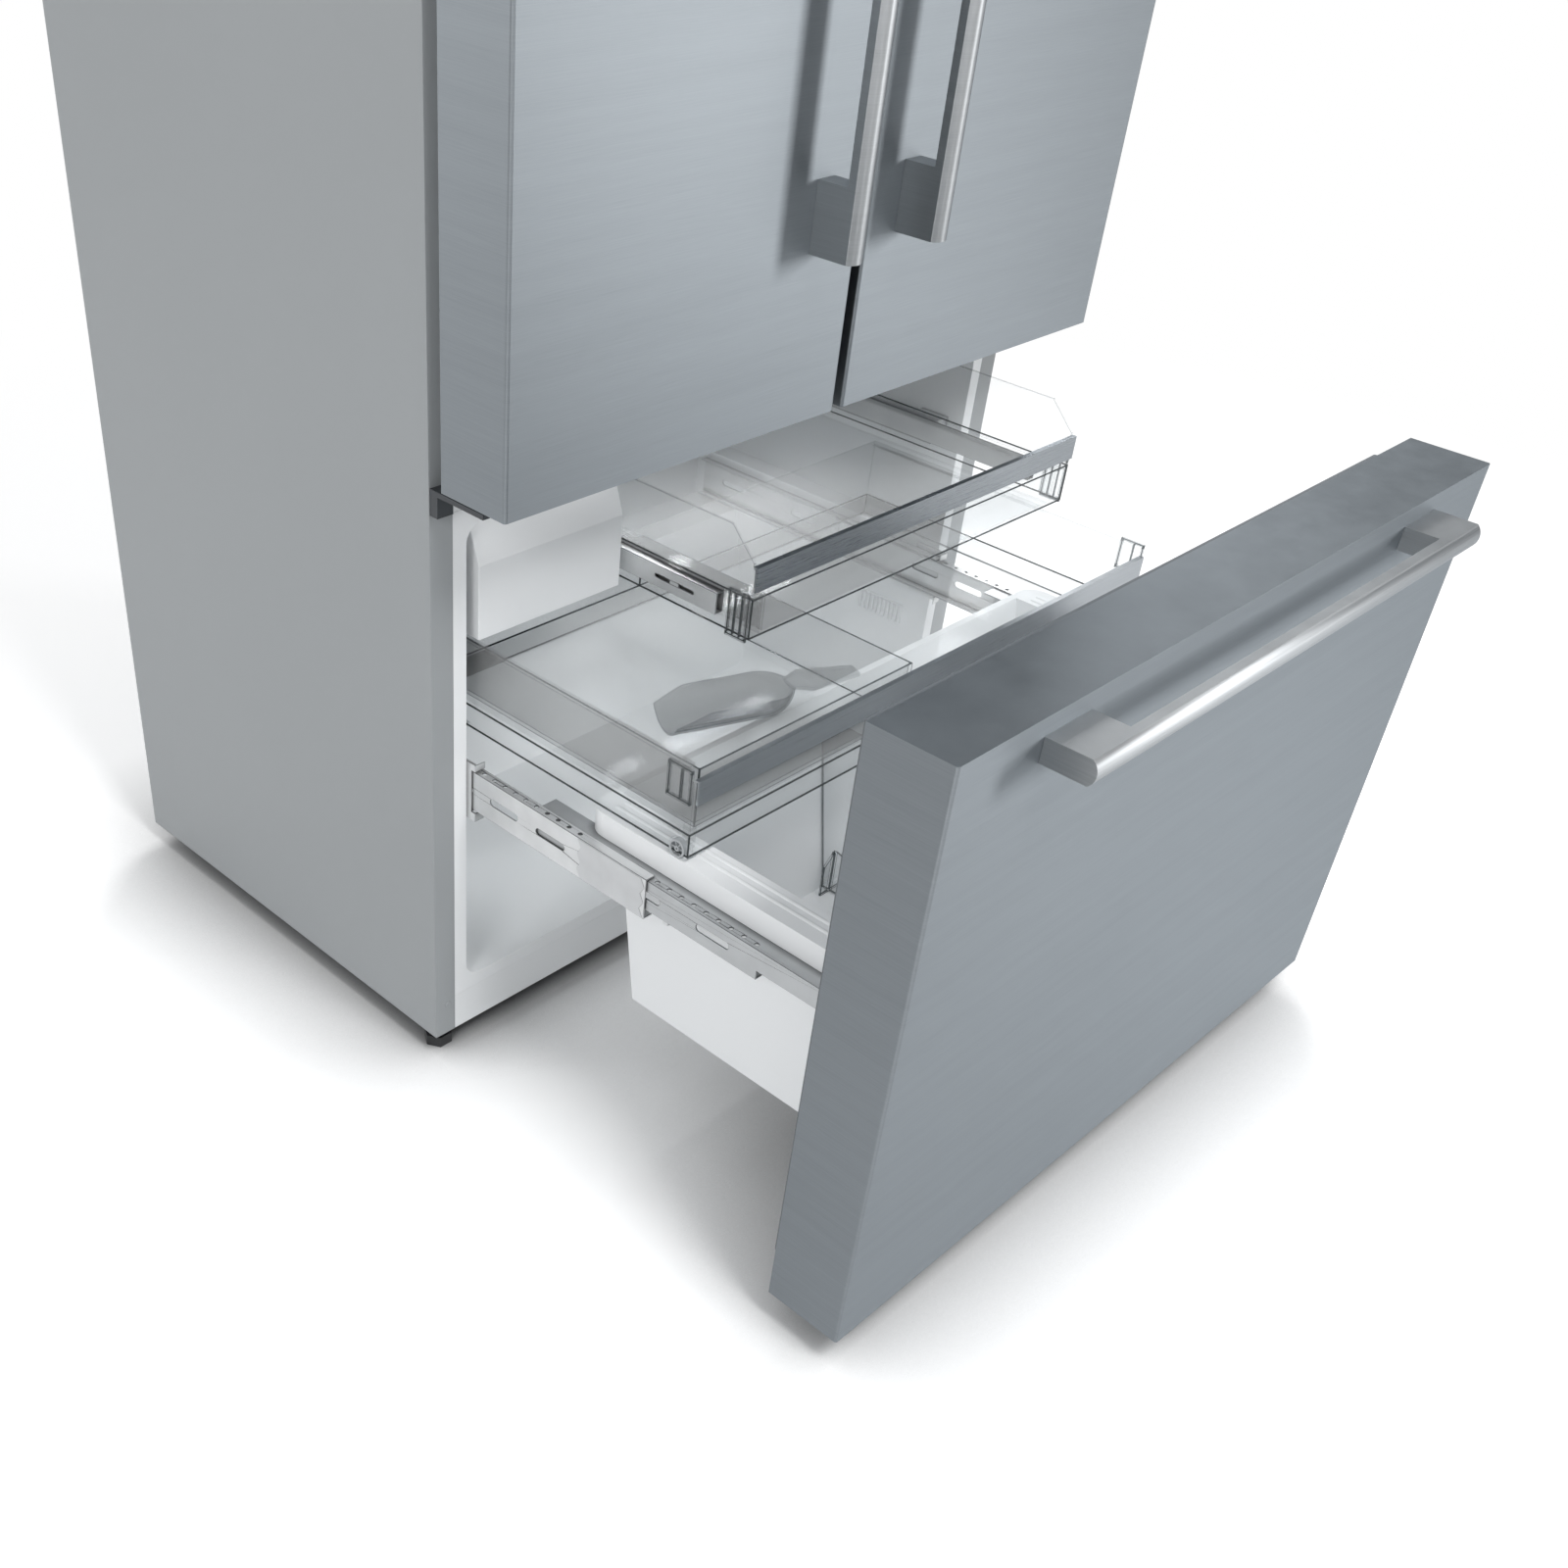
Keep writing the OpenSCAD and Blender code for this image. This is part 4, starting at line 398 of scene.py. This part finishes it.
def smooth_white(name, colour, rough):
    """Vacuum-formed or painted white: almost even, with a slow change of gloss."""
    finish = Finish(name)
    wide = finish.cloud(3.0, detail=2.0)
    fine = finish.cloud(700, detail=2.0)
    finish.feed("Base Color", finish.mixed(wide, tuple(c * 0.955 for c in colour), colour))
    finish.feed("Roughness", rough + wide * 0.1 - fine * 0.05)
    finish.relief(fine, 0.05, 0.0003)
    return finish.material


rail_white = smooth_white("rail_white", (0.83, 0.845, 0.855), 0.28)
for name in ("base_rail", "mullion_rail"):
    dress(name, rail_white)
    soften(name, rail_round)


spark_scale, spark_depth = 900, 0.0003


def moulded(name, colour, rough):
    """Injection-moulded plastic with a fine spark-eroded texture."""
    finish = Finish(name)
    texture = finish.cloud(spark_scale, detail=2.0)
    wide = finish.cloud(9, detail=2.0)
    finish.feed("Base Color", finish.mixed(wide, tuple(c * 0.88 for c in colour), colour))
    finish.feed("Roughness", rough + texture * 0.12)
    finish.relief(texture, 0.18, spark_depth)
    return finish.material


black_plastic = moulded("black_plastic", (0.022, 0.023, 0.025), 0.52)
for name in ("front_feet", "rear_rollers"):
    dress(name, black_plastic)
    soften(name, foot_round)

# Liners.
# Both compartments are lined with one white sheet each, vacuum formed over a mould, with rounded
# corners and a lip that laps onto the front flanges.
formed_edge, formed_angle = 0.0012, 50
liner_white = smooth_white("liner_white", (0.85, 0.865, 0.875), 0.34)
for name in ("fridge_liner", "freezer_liner"):
    dress(name, liner_white)
    soften(name, formed_edge, angle=formed_angle)

# Freezer lamp.
# A strip of diodes behind a milky, ribbed plastic lens is clipped into the freezer's ceiling. It shines
# when the drawer is out.
box_faces = ((0, 1, 3, 2), (4, 6, 7, 5), (0, 4, 5, 1), (2, 3, 7, 6), (0, 2, 6, 4), (1, 5, 7, 3))
box_edge = 0.0006


def boxes(name, spans, material, body, bevel=box_edge):
    """One piece made of upright boxes, each given by its two corners, with slightly rounded edges."""
    verts, faces = [], []
    for low, high in spans:
        n = len(verts)
        verts += [(x, y, z) for x in (low[0], high[0]) for y in (low[1], high[1]) for z in (low[2], high[2])]
        faces += [tuple(n + i for i in face) for face in box_faces]
    piece = mesh_piece(name, verts, faces)
    piece.data.materials.append(material)
    rounded = piece.modifiers.new("rounded", "BEVEL")
    rounded.width, rounded.segments = bevel, 2
    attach(piece, body)
    return piece


lens_half, lens_deep, lens_thick, lens_at, cover_gap = 0.16, 0.022, 0.003, 0.075, 0.0006
lens = Finish("lamp_lens", Base_Color=(0.9, 0.91, 0.9), Roughness=0.35, Emission_Strength=1.6)
diodes = lens.add("TexWave", {"bands_direction": "X"}, {"Vector": lens.place(), "Scale": 12.0}, output="Fac")
lens.feed("Emission Color", lens.mixed(diodes, (0.75, 0.8, 0.85), (1.0, 1.0, 1.0)))
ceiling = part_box("ice_maker_cover")[1].z + cover_gap
lens_ribs, rib_half, rib_deep = 9, 0.0008, 0.0006
rib_places = [lens_half * (2 * (k + 1) / (lens_ribs + 1) - 1) for k in range(lens_ribs)]


def lens_spans(front, top):
    """Spans of the ribbed lens under a ceiling, behind a front edge."""
    rear, under = front + lens_deep, top - lens_thick
    return [((-lens_half, front, under), (lens_half, rear, top))] + [
        ((x - rib_half, front + rib_deep, under - rib_deep), (x + rib_half, rear - rib_deep, under))
        for x in rib_places]


boxes("freezer_lamp", lens_spans(lens_at, ceiling), lens.material, "cabinet")
lamp("freezer_glow", (0, lens_at + lens_deep / 2, ceiling - 2 * lens_thick), (0, 0.1, 0.2), lens_deep, 0.6,
     across=2 * lens_half)

# Grille.
# A white moulded comb of slats on the freezer's right wall lets cold air down beside the bin. It snaps
# into the liner.
comb_slats, comb_pitch, comb_thick, comb_out = 11, 0.0068, 0.0026, 0.0035
comb_wall, comb_y, comb_z, comb_tall, comb_sunk, cap_share = 0.407, 0.072, 0.263, 0.024, 0.001, 0.6
slats = [((comb_wall - comb_out, comb_y + i * comb_pitch, comb_z),
          (comb_wall + comb_sunk, comb_y + i * comb_pitch + comb_thick, comb_z + comb_tall))
         for i in range(comb_slats)]
comb_end = comb_y + (comb_slats - 1) * comb_pitch + comb_thick
slats.append(((comb_wall - comb_out * cap_share, comb_y, comb_z + comb_tall),
              (comb_wall + comb_sunk, comb_end, comb_z + comb_tall + comb_thick)))
boxes("air_grille", slats, liner_white, "cabinet")

# Fridge lamp.
# The same milky lens, with its diodes behind it, is clipped into the ceiling of the fridge
# compartment.
fridge_lens_at, duct_gap = 0.21, 0.0003
fridge_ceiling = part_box("fridge_duct")[1].z + duct_gap
boxes("fridge_lamp", lens_spans(fridge_lens_at, fridge_ceiling), lens.material, "cabinet")


# Insulation.
# Rigid foam is poured between sheet and liner and fills the walls and doors. It is never seen in use,
# but a cut shows its pores.
def rigid_foam():
    """Pale yellow foam with fine closed pores."""
    finish = Finish("rigid_foam")
    pores = finish.add("TexVoronoi", {}, {"Vector": finish.place(), "Scale": 420.0}, output="Distance")
    clouds = finish.cloud(12)
    finish.feed("Base Color", finish.mixed(clouds, (0.62, 0.55, 0.3), (0.76, 0.7, 0.42)))
    finish.feed("Roughness", 0.85 + clouds * 0.1)
    finish.relief(pores, 0.4, 0.001)
    return finish.material


foam = rigid_foam()
for name in ("cabinet_foam", "left_door_foam", "right_door_foam", "drawer_foam"):
    dress(name, foam)

# Cooling unit.
# A black enamelled compressor can, two blocks of aluminium fins and two small black fans on their
# motors' shafts. White moulded walls hide the evaporator and carry the cold air up.
enamel = powder_coat("black_enamel", (0.02, 0.021, 0.022), rough=0.25, grain=500)
dress("compressor", enamel)


def fin_stock(name):
    """Thin aluminium fins, seen as fine upright lines."""
    finish = Finish(name, Metallic=1.0)
    clouds = finish.cloud(60)
    lines = finish.cloud(90, stretch=(18, 1, 1))
    finish.feed("Base Color", finish.mixed(clouds, (0.45, 0.46, 0.47), (0.66, 0.68, 0.7)))
    finish.feed("Roughness", 0.34 + lines * 0.2)
    finish.relief(lines, 0.1, 0.0004)
    return finish.material


fins = fin_stock("fin_stock")
for name in ("condenser", "evaporator"):
    dress(name, fins)
for name in ("condenser_fan", "evaporator_fan", "power_inlet"):
    dress(name, black_plastic)
inlet_round, duct_round = 0.0008, 0.0015
soften("power_inlet", inlet_round)
dress("evaporator_cover", smooth_white("panel_white", (0.75, 0.77, 0.78), 0.4))
dress("fridge_duct", smooth_white("duct_white", (0.77, 0.785, 0.79), 0.42))
soften("fridge_duct", duct_round)

# Hinges.
# Dark painted steel brackets with pins carry the doors below and above. Moulded covers with rounded
# edges hide the upper ones.
bracket_edge, cover_round = 0.0012, 0.003
dress("door_hinges", powder_coat("hinge_paint", (0.045, 0.05, 0.056), rough=0.38))
soften("door_hinges", bracket_edge)
dress("hinge_covers", moulded("cover_grey", (0.24, 0.255, 0.265), 0.45))
soften("hinge_covers", cover_round, 3)


# Shelves.
# Panes of toughened glass with a green edge lie in pale moulded frames, which rest on ribs of the
# liner.
def clear_sheet(name, tint, edge, haze=0.05):
    """Clear plastic or glass: light passes straight, and the surface mirrors and darkens at a slant."""
    finish = Finish(name)
    finish.material.surface_render_method = "BLENDED"
    slant = finish.add("LayerWeight", {}, {"Blend": 0.3}, output="Facing")
    scuffs = finish.cloud(24, detail=5.0)
    ahead = finish.add("BsdfTransparent", {}, {"Color": tint})
    askew = finish.add("BsdfTransparent", {}, {"Color": edge})
    through = finish.add("MixShader", {}, {0: (slant ** 3.0).clamped(), 1: ahead, 2: askew})
    finish.feed("Base Color", finish.mixed(scuffs, tint, tuple(c * 0.94 for c in tint)))
    finish.feed("Roughness", 0.03 + scuffs * 0.08)
    finish.feed("IOR", 1.49)
    share = (haze + slant ** 3.0 * 0.45 + scuffs * 0.02).clamped()
    finish.show(share, through, finish.own())
    return finish.material


glass_edge, frame_edge = 0.0008, 0.0012
dress("shelf_glasses", clear_sheet("shelf_glass", (0.96, 0.985, 0.978), (0.55, 0.75, 0.70)))
soften("shelf_glasses", glass_edge)
dress("shelf_frames", moulded("pale_plastic", (0.70, 0.72, 0.735), 0.4))
soften("shelf_frames", frame_edge)


# Crispers and deli drawer.
# Clear moulded boxes with a grip along the front. The crispers slide on the lowest shelf and the deli
# drawer on runners below it. Their rounded edges are painted dark as shade, as clear plastic's look.
def outlined(name, edge, width):
    """Rounds a part's edges and gives the roundings a finish of their own, such as a painted dark shade
    line.
    """
    soften(name, width, 2)
    node[name].modifiers["rounded"].material = 1
    node[name].data.materials.append(edge)


clear_plastic = clear_sheet("clear_plastic", (0.985, 0.99, 0.992), (0.66, 0.70, 0.725))
# A dark clear tint for rounded edges: painted shade where clear plastic bends light away.
clear_edge_shade = clear_sheet("clear_edge_shade", (0.17, 0.19, 0.2), (0.05, 0.06, 0.065), haze=0.25)
edge_line = 0.0012
for name in ("crisper_left", "crisper_right", "deli_drawer"):
    dress(name, clear_plastic)
    outlined(name, clear_edge_shade, edge_line)

# Control panel.
# A pale moulded housing under the fridge compartment's ceiling holds a smoked window with a rim, and
# three small square keys on each side of it.
panel_round, key_edge = 0.0015, 0.0001
dress("control_panel", moulded("panel_grey", (0.62, 0.64, 0.655), 0.35))
soften("control_panel", panel_round)
smoked = moulded("smoked_window", (0.03, 0.033, 0.036), 0.18)
key_t, key_half, key_gap, key_pitch, keys_a_side = 0.0004, 0.004, 0.010, 0.022, 3
window_x, window_y, rim_w = 0.034, 0.009, 0.0012
panel_lo, panel_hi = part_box("control_panel")
panel_y = (panel_lo.y + panel_hi.y) / 2
window = [((-window_x, panel_y - window_y, panel_lo.z - key_t), (window_x, panel_y + window_y, panel_lo.z))]
window += [((-window_x - rim_w, y, panel_lo.z - 2 * key_t), (window_x + rim_w, y + rim_w, panel_lo.z))
           for y in (panel_y - window_y - rim_w, panel_y + window_y)]
boxes("panel_window", window, smoked, "cabinet", key_edge)
key_places = [side * (window_x + key_gap + k * key_pitch) for side in (-1, 1) for k in range(keys_a_side)]
keys = [((x - key_half, panel_y - key_half, panel_lo.z - key_t),
         (x + key_half, panel_y + key_half, panel_lo.z)) for x in key_places]
boxes("panel_marks", keys, smoked, "cabinet", key_edge)

# Ice maker.
# A grey mould with its drive hangs from the freezer's ceiling, behind a plain white moulded cover that
# hangs there too.
ice_round, cover_bend = 0.001, 0.0011
dress("ice_maker", moulded("mould_grey", (0.42, 0.44, 0.455), 0.45))
soften("ice_maker", ice_round)
dress("ice_maker_cover", smooth_white("cover_white", (0.84, 0.855, 0.865), 0.3))
soften("ice_maker_cover", cover_bend)

# Slide rails.
# Stamped and zinc-plated profiles, the drawer's in three parts on each side. Their recesses and rounded
# edges are painted dark as shade.
rail_zinc = zinc("rail_zinc", (0.86, 0.87, 0.875), 0.4)
# The drawer's rails wear a darker copy of the rail zinc: painted shade.
shaded_rail_zinc = zinc("shaded_rail_zinc", (0.60, 0.615, 0.625), 0.36)
# The rails' rounded edges wear a dark zinc: a painted shade line.
rail_edge_shade, rail_line = zinc("rail_edge_shade", (0.2, 0.21, 0.22), 0.5), 0.0005
for name, material in (("fixed_rails", rail_zinc), ("middle_rails", rail_zinc), ("drawer_rails", shaded_rail_zinc),
                       ("tray_rails", rail_zinc)):
    dress(name, material)
    outlined(name, rail_edge_shade, rail_line)

# Rail sleeves.
# A thin stamped sleeve of zinc-plated steel, with toothed ends, is crimped round the outer end of each
# middle rail.
sleeve_t, sleeve_l, sleeve_in, sleeve_lap, tooth, teeth = 0.0003, 0.088, 0.002, 0.0015, 0.005, 5
sleeve_sunk_share = -0.5
mid_lo, mid_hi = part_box("middle_rails")
sleeve_y0, sleeve_z0, sleeve_z1 = mid_lo.y + sleeve_in, mid_lo.z + sleeve_lap, mid_hi.z - sleeve_lap
step = (sleeve_z1 - sleeve_z0) / teeth
outline = [(sleeve_y0 + (tooth if i % 2 else 0.0), sleeve_z0 + step * i) for i in range(teeth + 1)]
outline += [(y + sleeve_l, z) for y, z in reversed(outline)]
sleeve_zinc = zinc("sleeve_zinc", (0.74, 0.75, 0.76), 0.34)
for side, x, out in (("left", mid_lo.x, -sleeve_t), ("right", mid_hi.x, sleeve_t)):
    count = len(outline)
    verts = [(x + out * share, y, z) for share in (sleeve_sunk_share, 1.0) for y, z in outline]
    faces = [tuple(range(count)), tuple(range(2 * count - 1, count - 1, -1))]
    faces += [(i, (i + 1) % count, count + (i + 1) % count, count + i) for i in range(count)]
    sleeve = mesh_piece(f"rail_sleeve_{side}", verts, faces)
    sleeve.data.materials.append(sleeve_zinc)
    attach(sleeve, "middle_rails")

# Doors.
# Brushed stainless steel folded round the front and both sides of each door, foamed to a white liner.
# Clear moulded shelves hang inside, their rounded edges painted dark as shade, and a grey flap on the
# left door closes the gap between the two.
steel_edge, upright_spread, upright_turn, level_limit = (0.58, 0.61, 0.64), 0.7, 0.25, 0.5
fold_edge, fold_angle, flap_round = 0.0012, 50, 0.002


def brushed(name, colour, rough, grain=1500):
    """Stainless steel brushed along the horizontal, in long fine strokes that spread light upright."""
    finish = Finish(name, Metallic=1.0, Specular_Tint=steel_edge,
                    Anisotropic=upright_spread, Anisotropic_Rotation=upright_turn)
    strokes = finish.cloud(1.0, detail=4.0, stretch=(14, 14, grain), rough=0.7)
    broad = finish.cloud(1.0, detail=2.0, stretch=(3, 3, 90))
    clouds = finish.cloud(2.2, detail=1.0)
    shade = (0.5 + (strokes - 0.5) * 1.5 + (broad - 0.5) * 0.4 + (clouds - 0.5) * 0.36).clamped()
    tone = finish.mixed(shade, tuple(c * 0.86 for c in colour), tuple(c * 1.1 for c in colour))
    gloss = rough + (strokes - 0.5) * 0.16
    finish.feed("Base Color", tone)
    finish.feed("Roughness", gloss)
    finish.relief(strokes, 0.1, 0.0004)
    level = finish.add("BsdfPrincipled", {}, {
        "Metallic": 1.0, "Specular Tint": steel_edge, "Base Color": tone, "Roughness": gloss})
    facing = finish.add("SeparateXYZ", {}, {0: finish.add("NewGeometry", {}, {}, output="Normal")}, output=2)
    finish.show(facing ** 2.0 > level_limit, finish.own(), level)
    return finish.material


steel = brushed("brushed_steel", (0.29, 0.314, 0.334), rough=0.5)
for side in ("left", "right"):
    dress(f"{side}_door_skin", steel)
    soften(f"{side}_door_skin", fold_edge, 3, fold_angle)
    dress(f"{side}_door_liner", liner_white)
    soften(f"{side}_door_liner", formed_edge, angle=formed_angle)
    dress(f"{side}_door_shelves", clear_plastic)
    outlined(f"{side}_door_shelves", clear_edge_shade, edge_line)
dress("mullion_flap", moulded("flap_grey", (0.12, 0.13, 0.14), 0.4))
soften("mullion_flap", flap_round, 3)

# Door stops.
# A clear rubber stop under each door's inner corner keeps it off the drawer's top. Its flange is stuck
# to the skin's folded edge. Both are drawn in the dark edge tint, a painted shade.
stop_l, stop_d, stop_h, stop_in, stop_back = 0.014, 0.020, 0.006, 0.004, 0.022
flange_x, flange_y, flange_h, stop_sunk, stop_round = 0.001, 0.002, 0.0015, 0.0005, 0.0015
for side, direction in (("left", -1), ("right", 1)):
    skin_lo, skin_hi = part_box(f"{side}_door_skin")
    near = (skin_hi.x if direction < 0 else skin_lo.x) + direction * stop_in
    x0, x1 = sorted((near, near + direction * stop_l))
    y0, y1 = skin_lo.y + stop_back, skin_lo.y + stop_back + stop_d
    under, top = skin_lo.z, skin_lo.z + stop_sunk
    boxes(f"{side}_door_stop", [
        ((x0, y0, under - stop_h), (x1, y1, top)),
        ((x0 - flange_x, y0 - flange_y, under - flange_h), (x1 + flange_x, y1 + flange_y, top))],
          clear_edge_shade, f"{side}_door", stop_round)

# Handles.
# Extruded bars with a rounded front on two square blocks, in finer brushed steel. They are screwed on
# from behind the skins.
bar_edge = 0.0008
bar_steel = brushed("bar_steel", (0.50, 0.515, 0.525), rough=0.46, grain=900)
for name in ("left_door_handle", "right_door_handle", "drawer_handle"):
    dress(name, bar_steel)
    soften(name, bar_edge)

# Seals.
# Soft grey magnetic profiles, one frame for each door and one for the drawer, pressed into a groove
# round each inner panel.
seal_round = 0.003
seal_grey = moulded("seal_grey", (0.135, 0.148, 0.162), 0.55)
for name in ("left_door_gasket", "right_door_gasket", "drawer_gasket"):
    dress(name, seal_grey)
    soften(name, seal_round, 3)

# Freezer drawer.
# The front is a folded skin of brushed steel, foamed to a white inner plate. Behind it stands a deep
# moulded bin, parted by a clear divider whose rounded edges are painted dark as shade.
bin_round = 0.0014
dress("drawer_skin", steel)
soften("drawer_skin", fold_edge, 3, fold_angle)
dress("drawer_liner", liner_white)
dress("freezer_bin", smooth_white("bin_white", (0.85, 0.865, 0.875), 0.36))
soften("freezer_bin", bin_round, 3)
dress("bin_divider", clear_plastic)
outlined("bin_divider", clear_edge_shade, edge_line)

# Bin latches.
# A stamped, zinc-plated clip on each side of the bin holds it down on its rails. Each is a plate with
# three raised tabs, given as shares of its length and height and in times its thickness.
latch_y, latch_z, latch_l, latch_h, latch_t, latch_edge = -0.232, 0.283, 0.040, 0.013, 0.0022, 0.0004
latch_wall = 0.345
latch_shares = ((0.0, 0.1, 1.0, 0.7, 1.0), (0.1, 0.35, 0.3, 1.0, 2.0),
                (0.45, 0.0, 0.62, 0.6, 2.2), (0.75, 0.2, 0.9, 0.55, 1.8))
for side, wall, out in (("left", -latch_wall, -latch_t), ("right", latch_wall, latch_t)):
    spans = []
    for y0, z0, y1, z1, rise in latch_shares:
        x0, x1 = sorted((wall - out, wall + rise * out))
        spans.append(((x0, latch_y + latch_l * y0, latch_z + latch_h * z0),
                      (x1, latch_y + latch_l * y1, latch_z + latch_h * z1)))
    boxes(f"bin_latch_{side}", spans, rail_zinc, "drawer", latch_edge)

# Middle tray.
# A clear moulded tray with a brushed steel strip along its front and clear caps on its front corners.
# Its sides run on ledges of the liner. It holds a clear ice bin with a scoop in it. Their rounded
# edges, the beads and the caps' roundings are painted dark as shade.
strip_grain = 1100
for name in ("middle_tray", "ice_bin"):
    dress(name, clear_plastic)
    outlined(name, clear_edge_shade, edge_line)
dress("middle_tray_trim", brushed("strip_steel", (0.50, 0.52, 0.54), rough=0.3, grain=strip_grain))
dress("ice_scoop", clear_sheet("scoop_plastic", (0.97, 0.98, 0.985), (0.30, 0.33, 0.35), haze=0.02))
outlined("ice_scoop", clear_edge_shade, edge_line)
bar_share, frame_round = 0.6, 0.0008
bead_t, bead_proud, bead_round, bead_up = 0.0015, 0.0002, 0.0003, 0.0005


def framed(name, x0, x1, low, high, wall, body, bars):
    """A flat clear frame along the appliance's side, with upright bars at shares of its length and rounded
    edges painted dark as shade.
    """
    (y0, z0), (y1, z1) = low, high
    spans = [((x0, y0, z0), (x1, y1, z0 + wall)), ((x0, y0, z1 - wall), (x1, y1, z1)),
             ((x0, y0, z0 + wall), (x1, y0 + wall, z1 - wall)),
             ((x0, y1 - wall, z0 + wall), (x1, y1, z1 - wall))]
    for share in bars:
        y = y0 + (y1 - y0) * share
        spans.append(((x0, y, z0 + wall), (x1, y + wall * bar_share, z1 - wall)))
    piece = boxes(name, spans, clear_plastic, body, frame_round)
    piece.modifiers["rounded"].material = 1
    piece.data.materials.append(clear_edge_shade)


def piped(name, low, high, second_up, body):
    """A fine bead round a clear tray's foot and one higher up, joined by a bead up each corner, all in the
    dark edge tint as painted shade.
    """
    x0, y0, x1, y1 = low.x - bead_proud, low.y - bead_proud, high.x + bead_proud, high.y + bead_proud
    foot, second = low.z + bead_up, low.z + second_up
    spans = []
    for z in (foot, second):
        spans += [((x0, y0, z), (x1, y0 + bead_t, z + bead_t)), ((x0, y1 - bead_t, z), (x1, y1, z + bead_t)),
                  ((x0, y0 + bead_t, z), (x0 + bead_t, y1 - bead_t, z + bead_t)),
                  ((x1 - bead_t, y0 + bead_t, z), (x1, y1 - bead_t, z + bead_t))]
    for x in (x0, x1 - bead_t):
        for y in (y0, y1 - bead_t):
            spans.append(((x, y, foot + bead_t), (x + bead_t, y + bead_t, second)))
    boxes(name, spans, clear_edge_shade, body, bead_round)


tray_lo, tray_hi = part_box("middle_tray")
tray_bead, upper_bead = 0.025, 0.043
piped("middle_tray_beads", tray_lo, tray_hi, tray_bead, "middle_tray")
cap_l, cap_h, cap_wall, cap_t, cap_in, cap_down = 0.032, 0.038, 0.003, 0.004, 0.001, 0.0005
cap_bar_shares = (0.4,)
for side, x in (("left", tray_lo.x - cap_t), ("right", tray_hi.x)):
    framed(f"middle_tray_cap_{side}", x, x + cap_t, (tray_lo.y + cap_in, tray_hi.z - cap_down - cap_h),
           (tray_lo.y + cap_l, tray_hi.z - cap_down), cap_wall, "middle_tray", cap_bar_shares)


# Tray rollers.
# Two small wheels under the tray's front corners, moulded in grey plastic, each a rim and a hub joined
# by spokes. They turn in lugs of the tray and roll on the bin's rim.
def spoked_wheel(at, radius, half, spokes=6, count=36):
    """Points and faces of a wheel on an axle across the appliance."""
    verts, faces = [], []

    def tube(outer, inner, reach):
        """Adds a ring of square section round the axle."""
        n = len(verts)
        for x, r in ((-reach, inner), (-reach, outer), (reach, outer), (reach, inner)):
            verts.extend((at[0] + x, at[1] + r * math.cos(2 * math.pi * i / count),
                          at[2] + r * math.sin(2 * math.pi * i / count)) for i in range(count))
        for band in range(4):
            a, b = n + band * count, n + (band + 1) % 4 * count
            faces.extend((a + i, a + (i + 1) % count, b + (i + 1) % count, b + i) for i in range(count))

    rim_in, hub_out, hub_in, hub_half = radius * 0.78, radius * 0.3, radius * 0.12, half * 0.95
    spoke_from, spoke_to, spoke_half, spoke_w = radius * 0.25, radius * 0.82, half * 0.6, radius * 0.055
    tube(radius, rim_in, half)
    tube(hub_out, hub_in, hub_half)
    for k in range(spokes):
        n, turn = len(verts), 2 * math.pi * k / spokes
        for x in (-spoke_half, spoke_half):
            for r in (spoke_from, spoke_to):
                for w in (-spoke_w, spoke_w):
                    verts.append((at[0] + x, at[1] + r * math.cos(turn) - w * math.sin(turn),
                                  at[2] + r * math.sin(turn) + w * math.cos(turn)))
        faces.extend(tuple(n + i for i in face) for face in box_faces)
    return verts, faces


roll_lo, roll_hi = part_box("tray_rollers")
wheel_r = (roll_hi.z - roll_lo.z) / 2
axle_y, axle_z = (roll_lo.y + roll_hi.y) / 2, (roll_lo.z + roll_hi.z) / 2
wheel_half = 0.0035
wheel_verts, wheel_faces = [], []
for x in (roll_lo.x + wheel_half, roll_hi.x - wheel_half):
    made, skin = spoked_wheel((x, axle_y, axle_z), wheel_r, wheel_half)
    wheel_faces += [tuple(len(wheel_verts) + i for i in face) for face in skin]
    wheel_verts += made
wheels = mesh_piece("spoked_rollers", wheel_verts, wheel_faces)
wheels.data.materials.append(moulded("roller_grey", (0.42, 0.44, 0.455), 0.35))
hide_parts("tray_rollers")
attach(wheels, "tray_rollers")

# Upper tray.
# A wide clear moulded tray on slides of its own, with a steel strip along its front painted darker as
# shade, and fine beads round its walls. Its rounded edges and beads are painted dark as shade.
dress("upper_tray", clear_plastic)
outlined("upper_tray", clear_edge_shade, edge_line)
dress("upper_tray_trim", brushed("upper_strip_steel_shaded", (0.36, 0.38, 0.40), rough=0.28, grain=strip_grain))
upper_lo, upper_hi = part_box("upper_tray")
piped("upper_tray_beads", upper_lo, upper_hi, upper_bead, "upper_tray")

# Slide clips.
# Clear clips at the upper tray's front corners hook it onto its metal slides. Each is a moulded frame
# with two bars.
clip_y0, clip_y1, clip_z0, clip_z1, clip_t = 0.002, 0.030, 0.514, 0.566, 0.0035
clip_wall, clip_bar_shares = 0.0028, (0.3, 0.62)
for side, x in (("left", upper_lo.x - clip_t), ("right", upper_hi.x)):
    framed(f"slide_clip_{side}", x, x + clip_t, (upper_lo.y + clip_y0, clip_z0),
           (upper_lo.y + clip_y1, clip_z1), clip_wall, "upper_tray", clip_bar_shares)
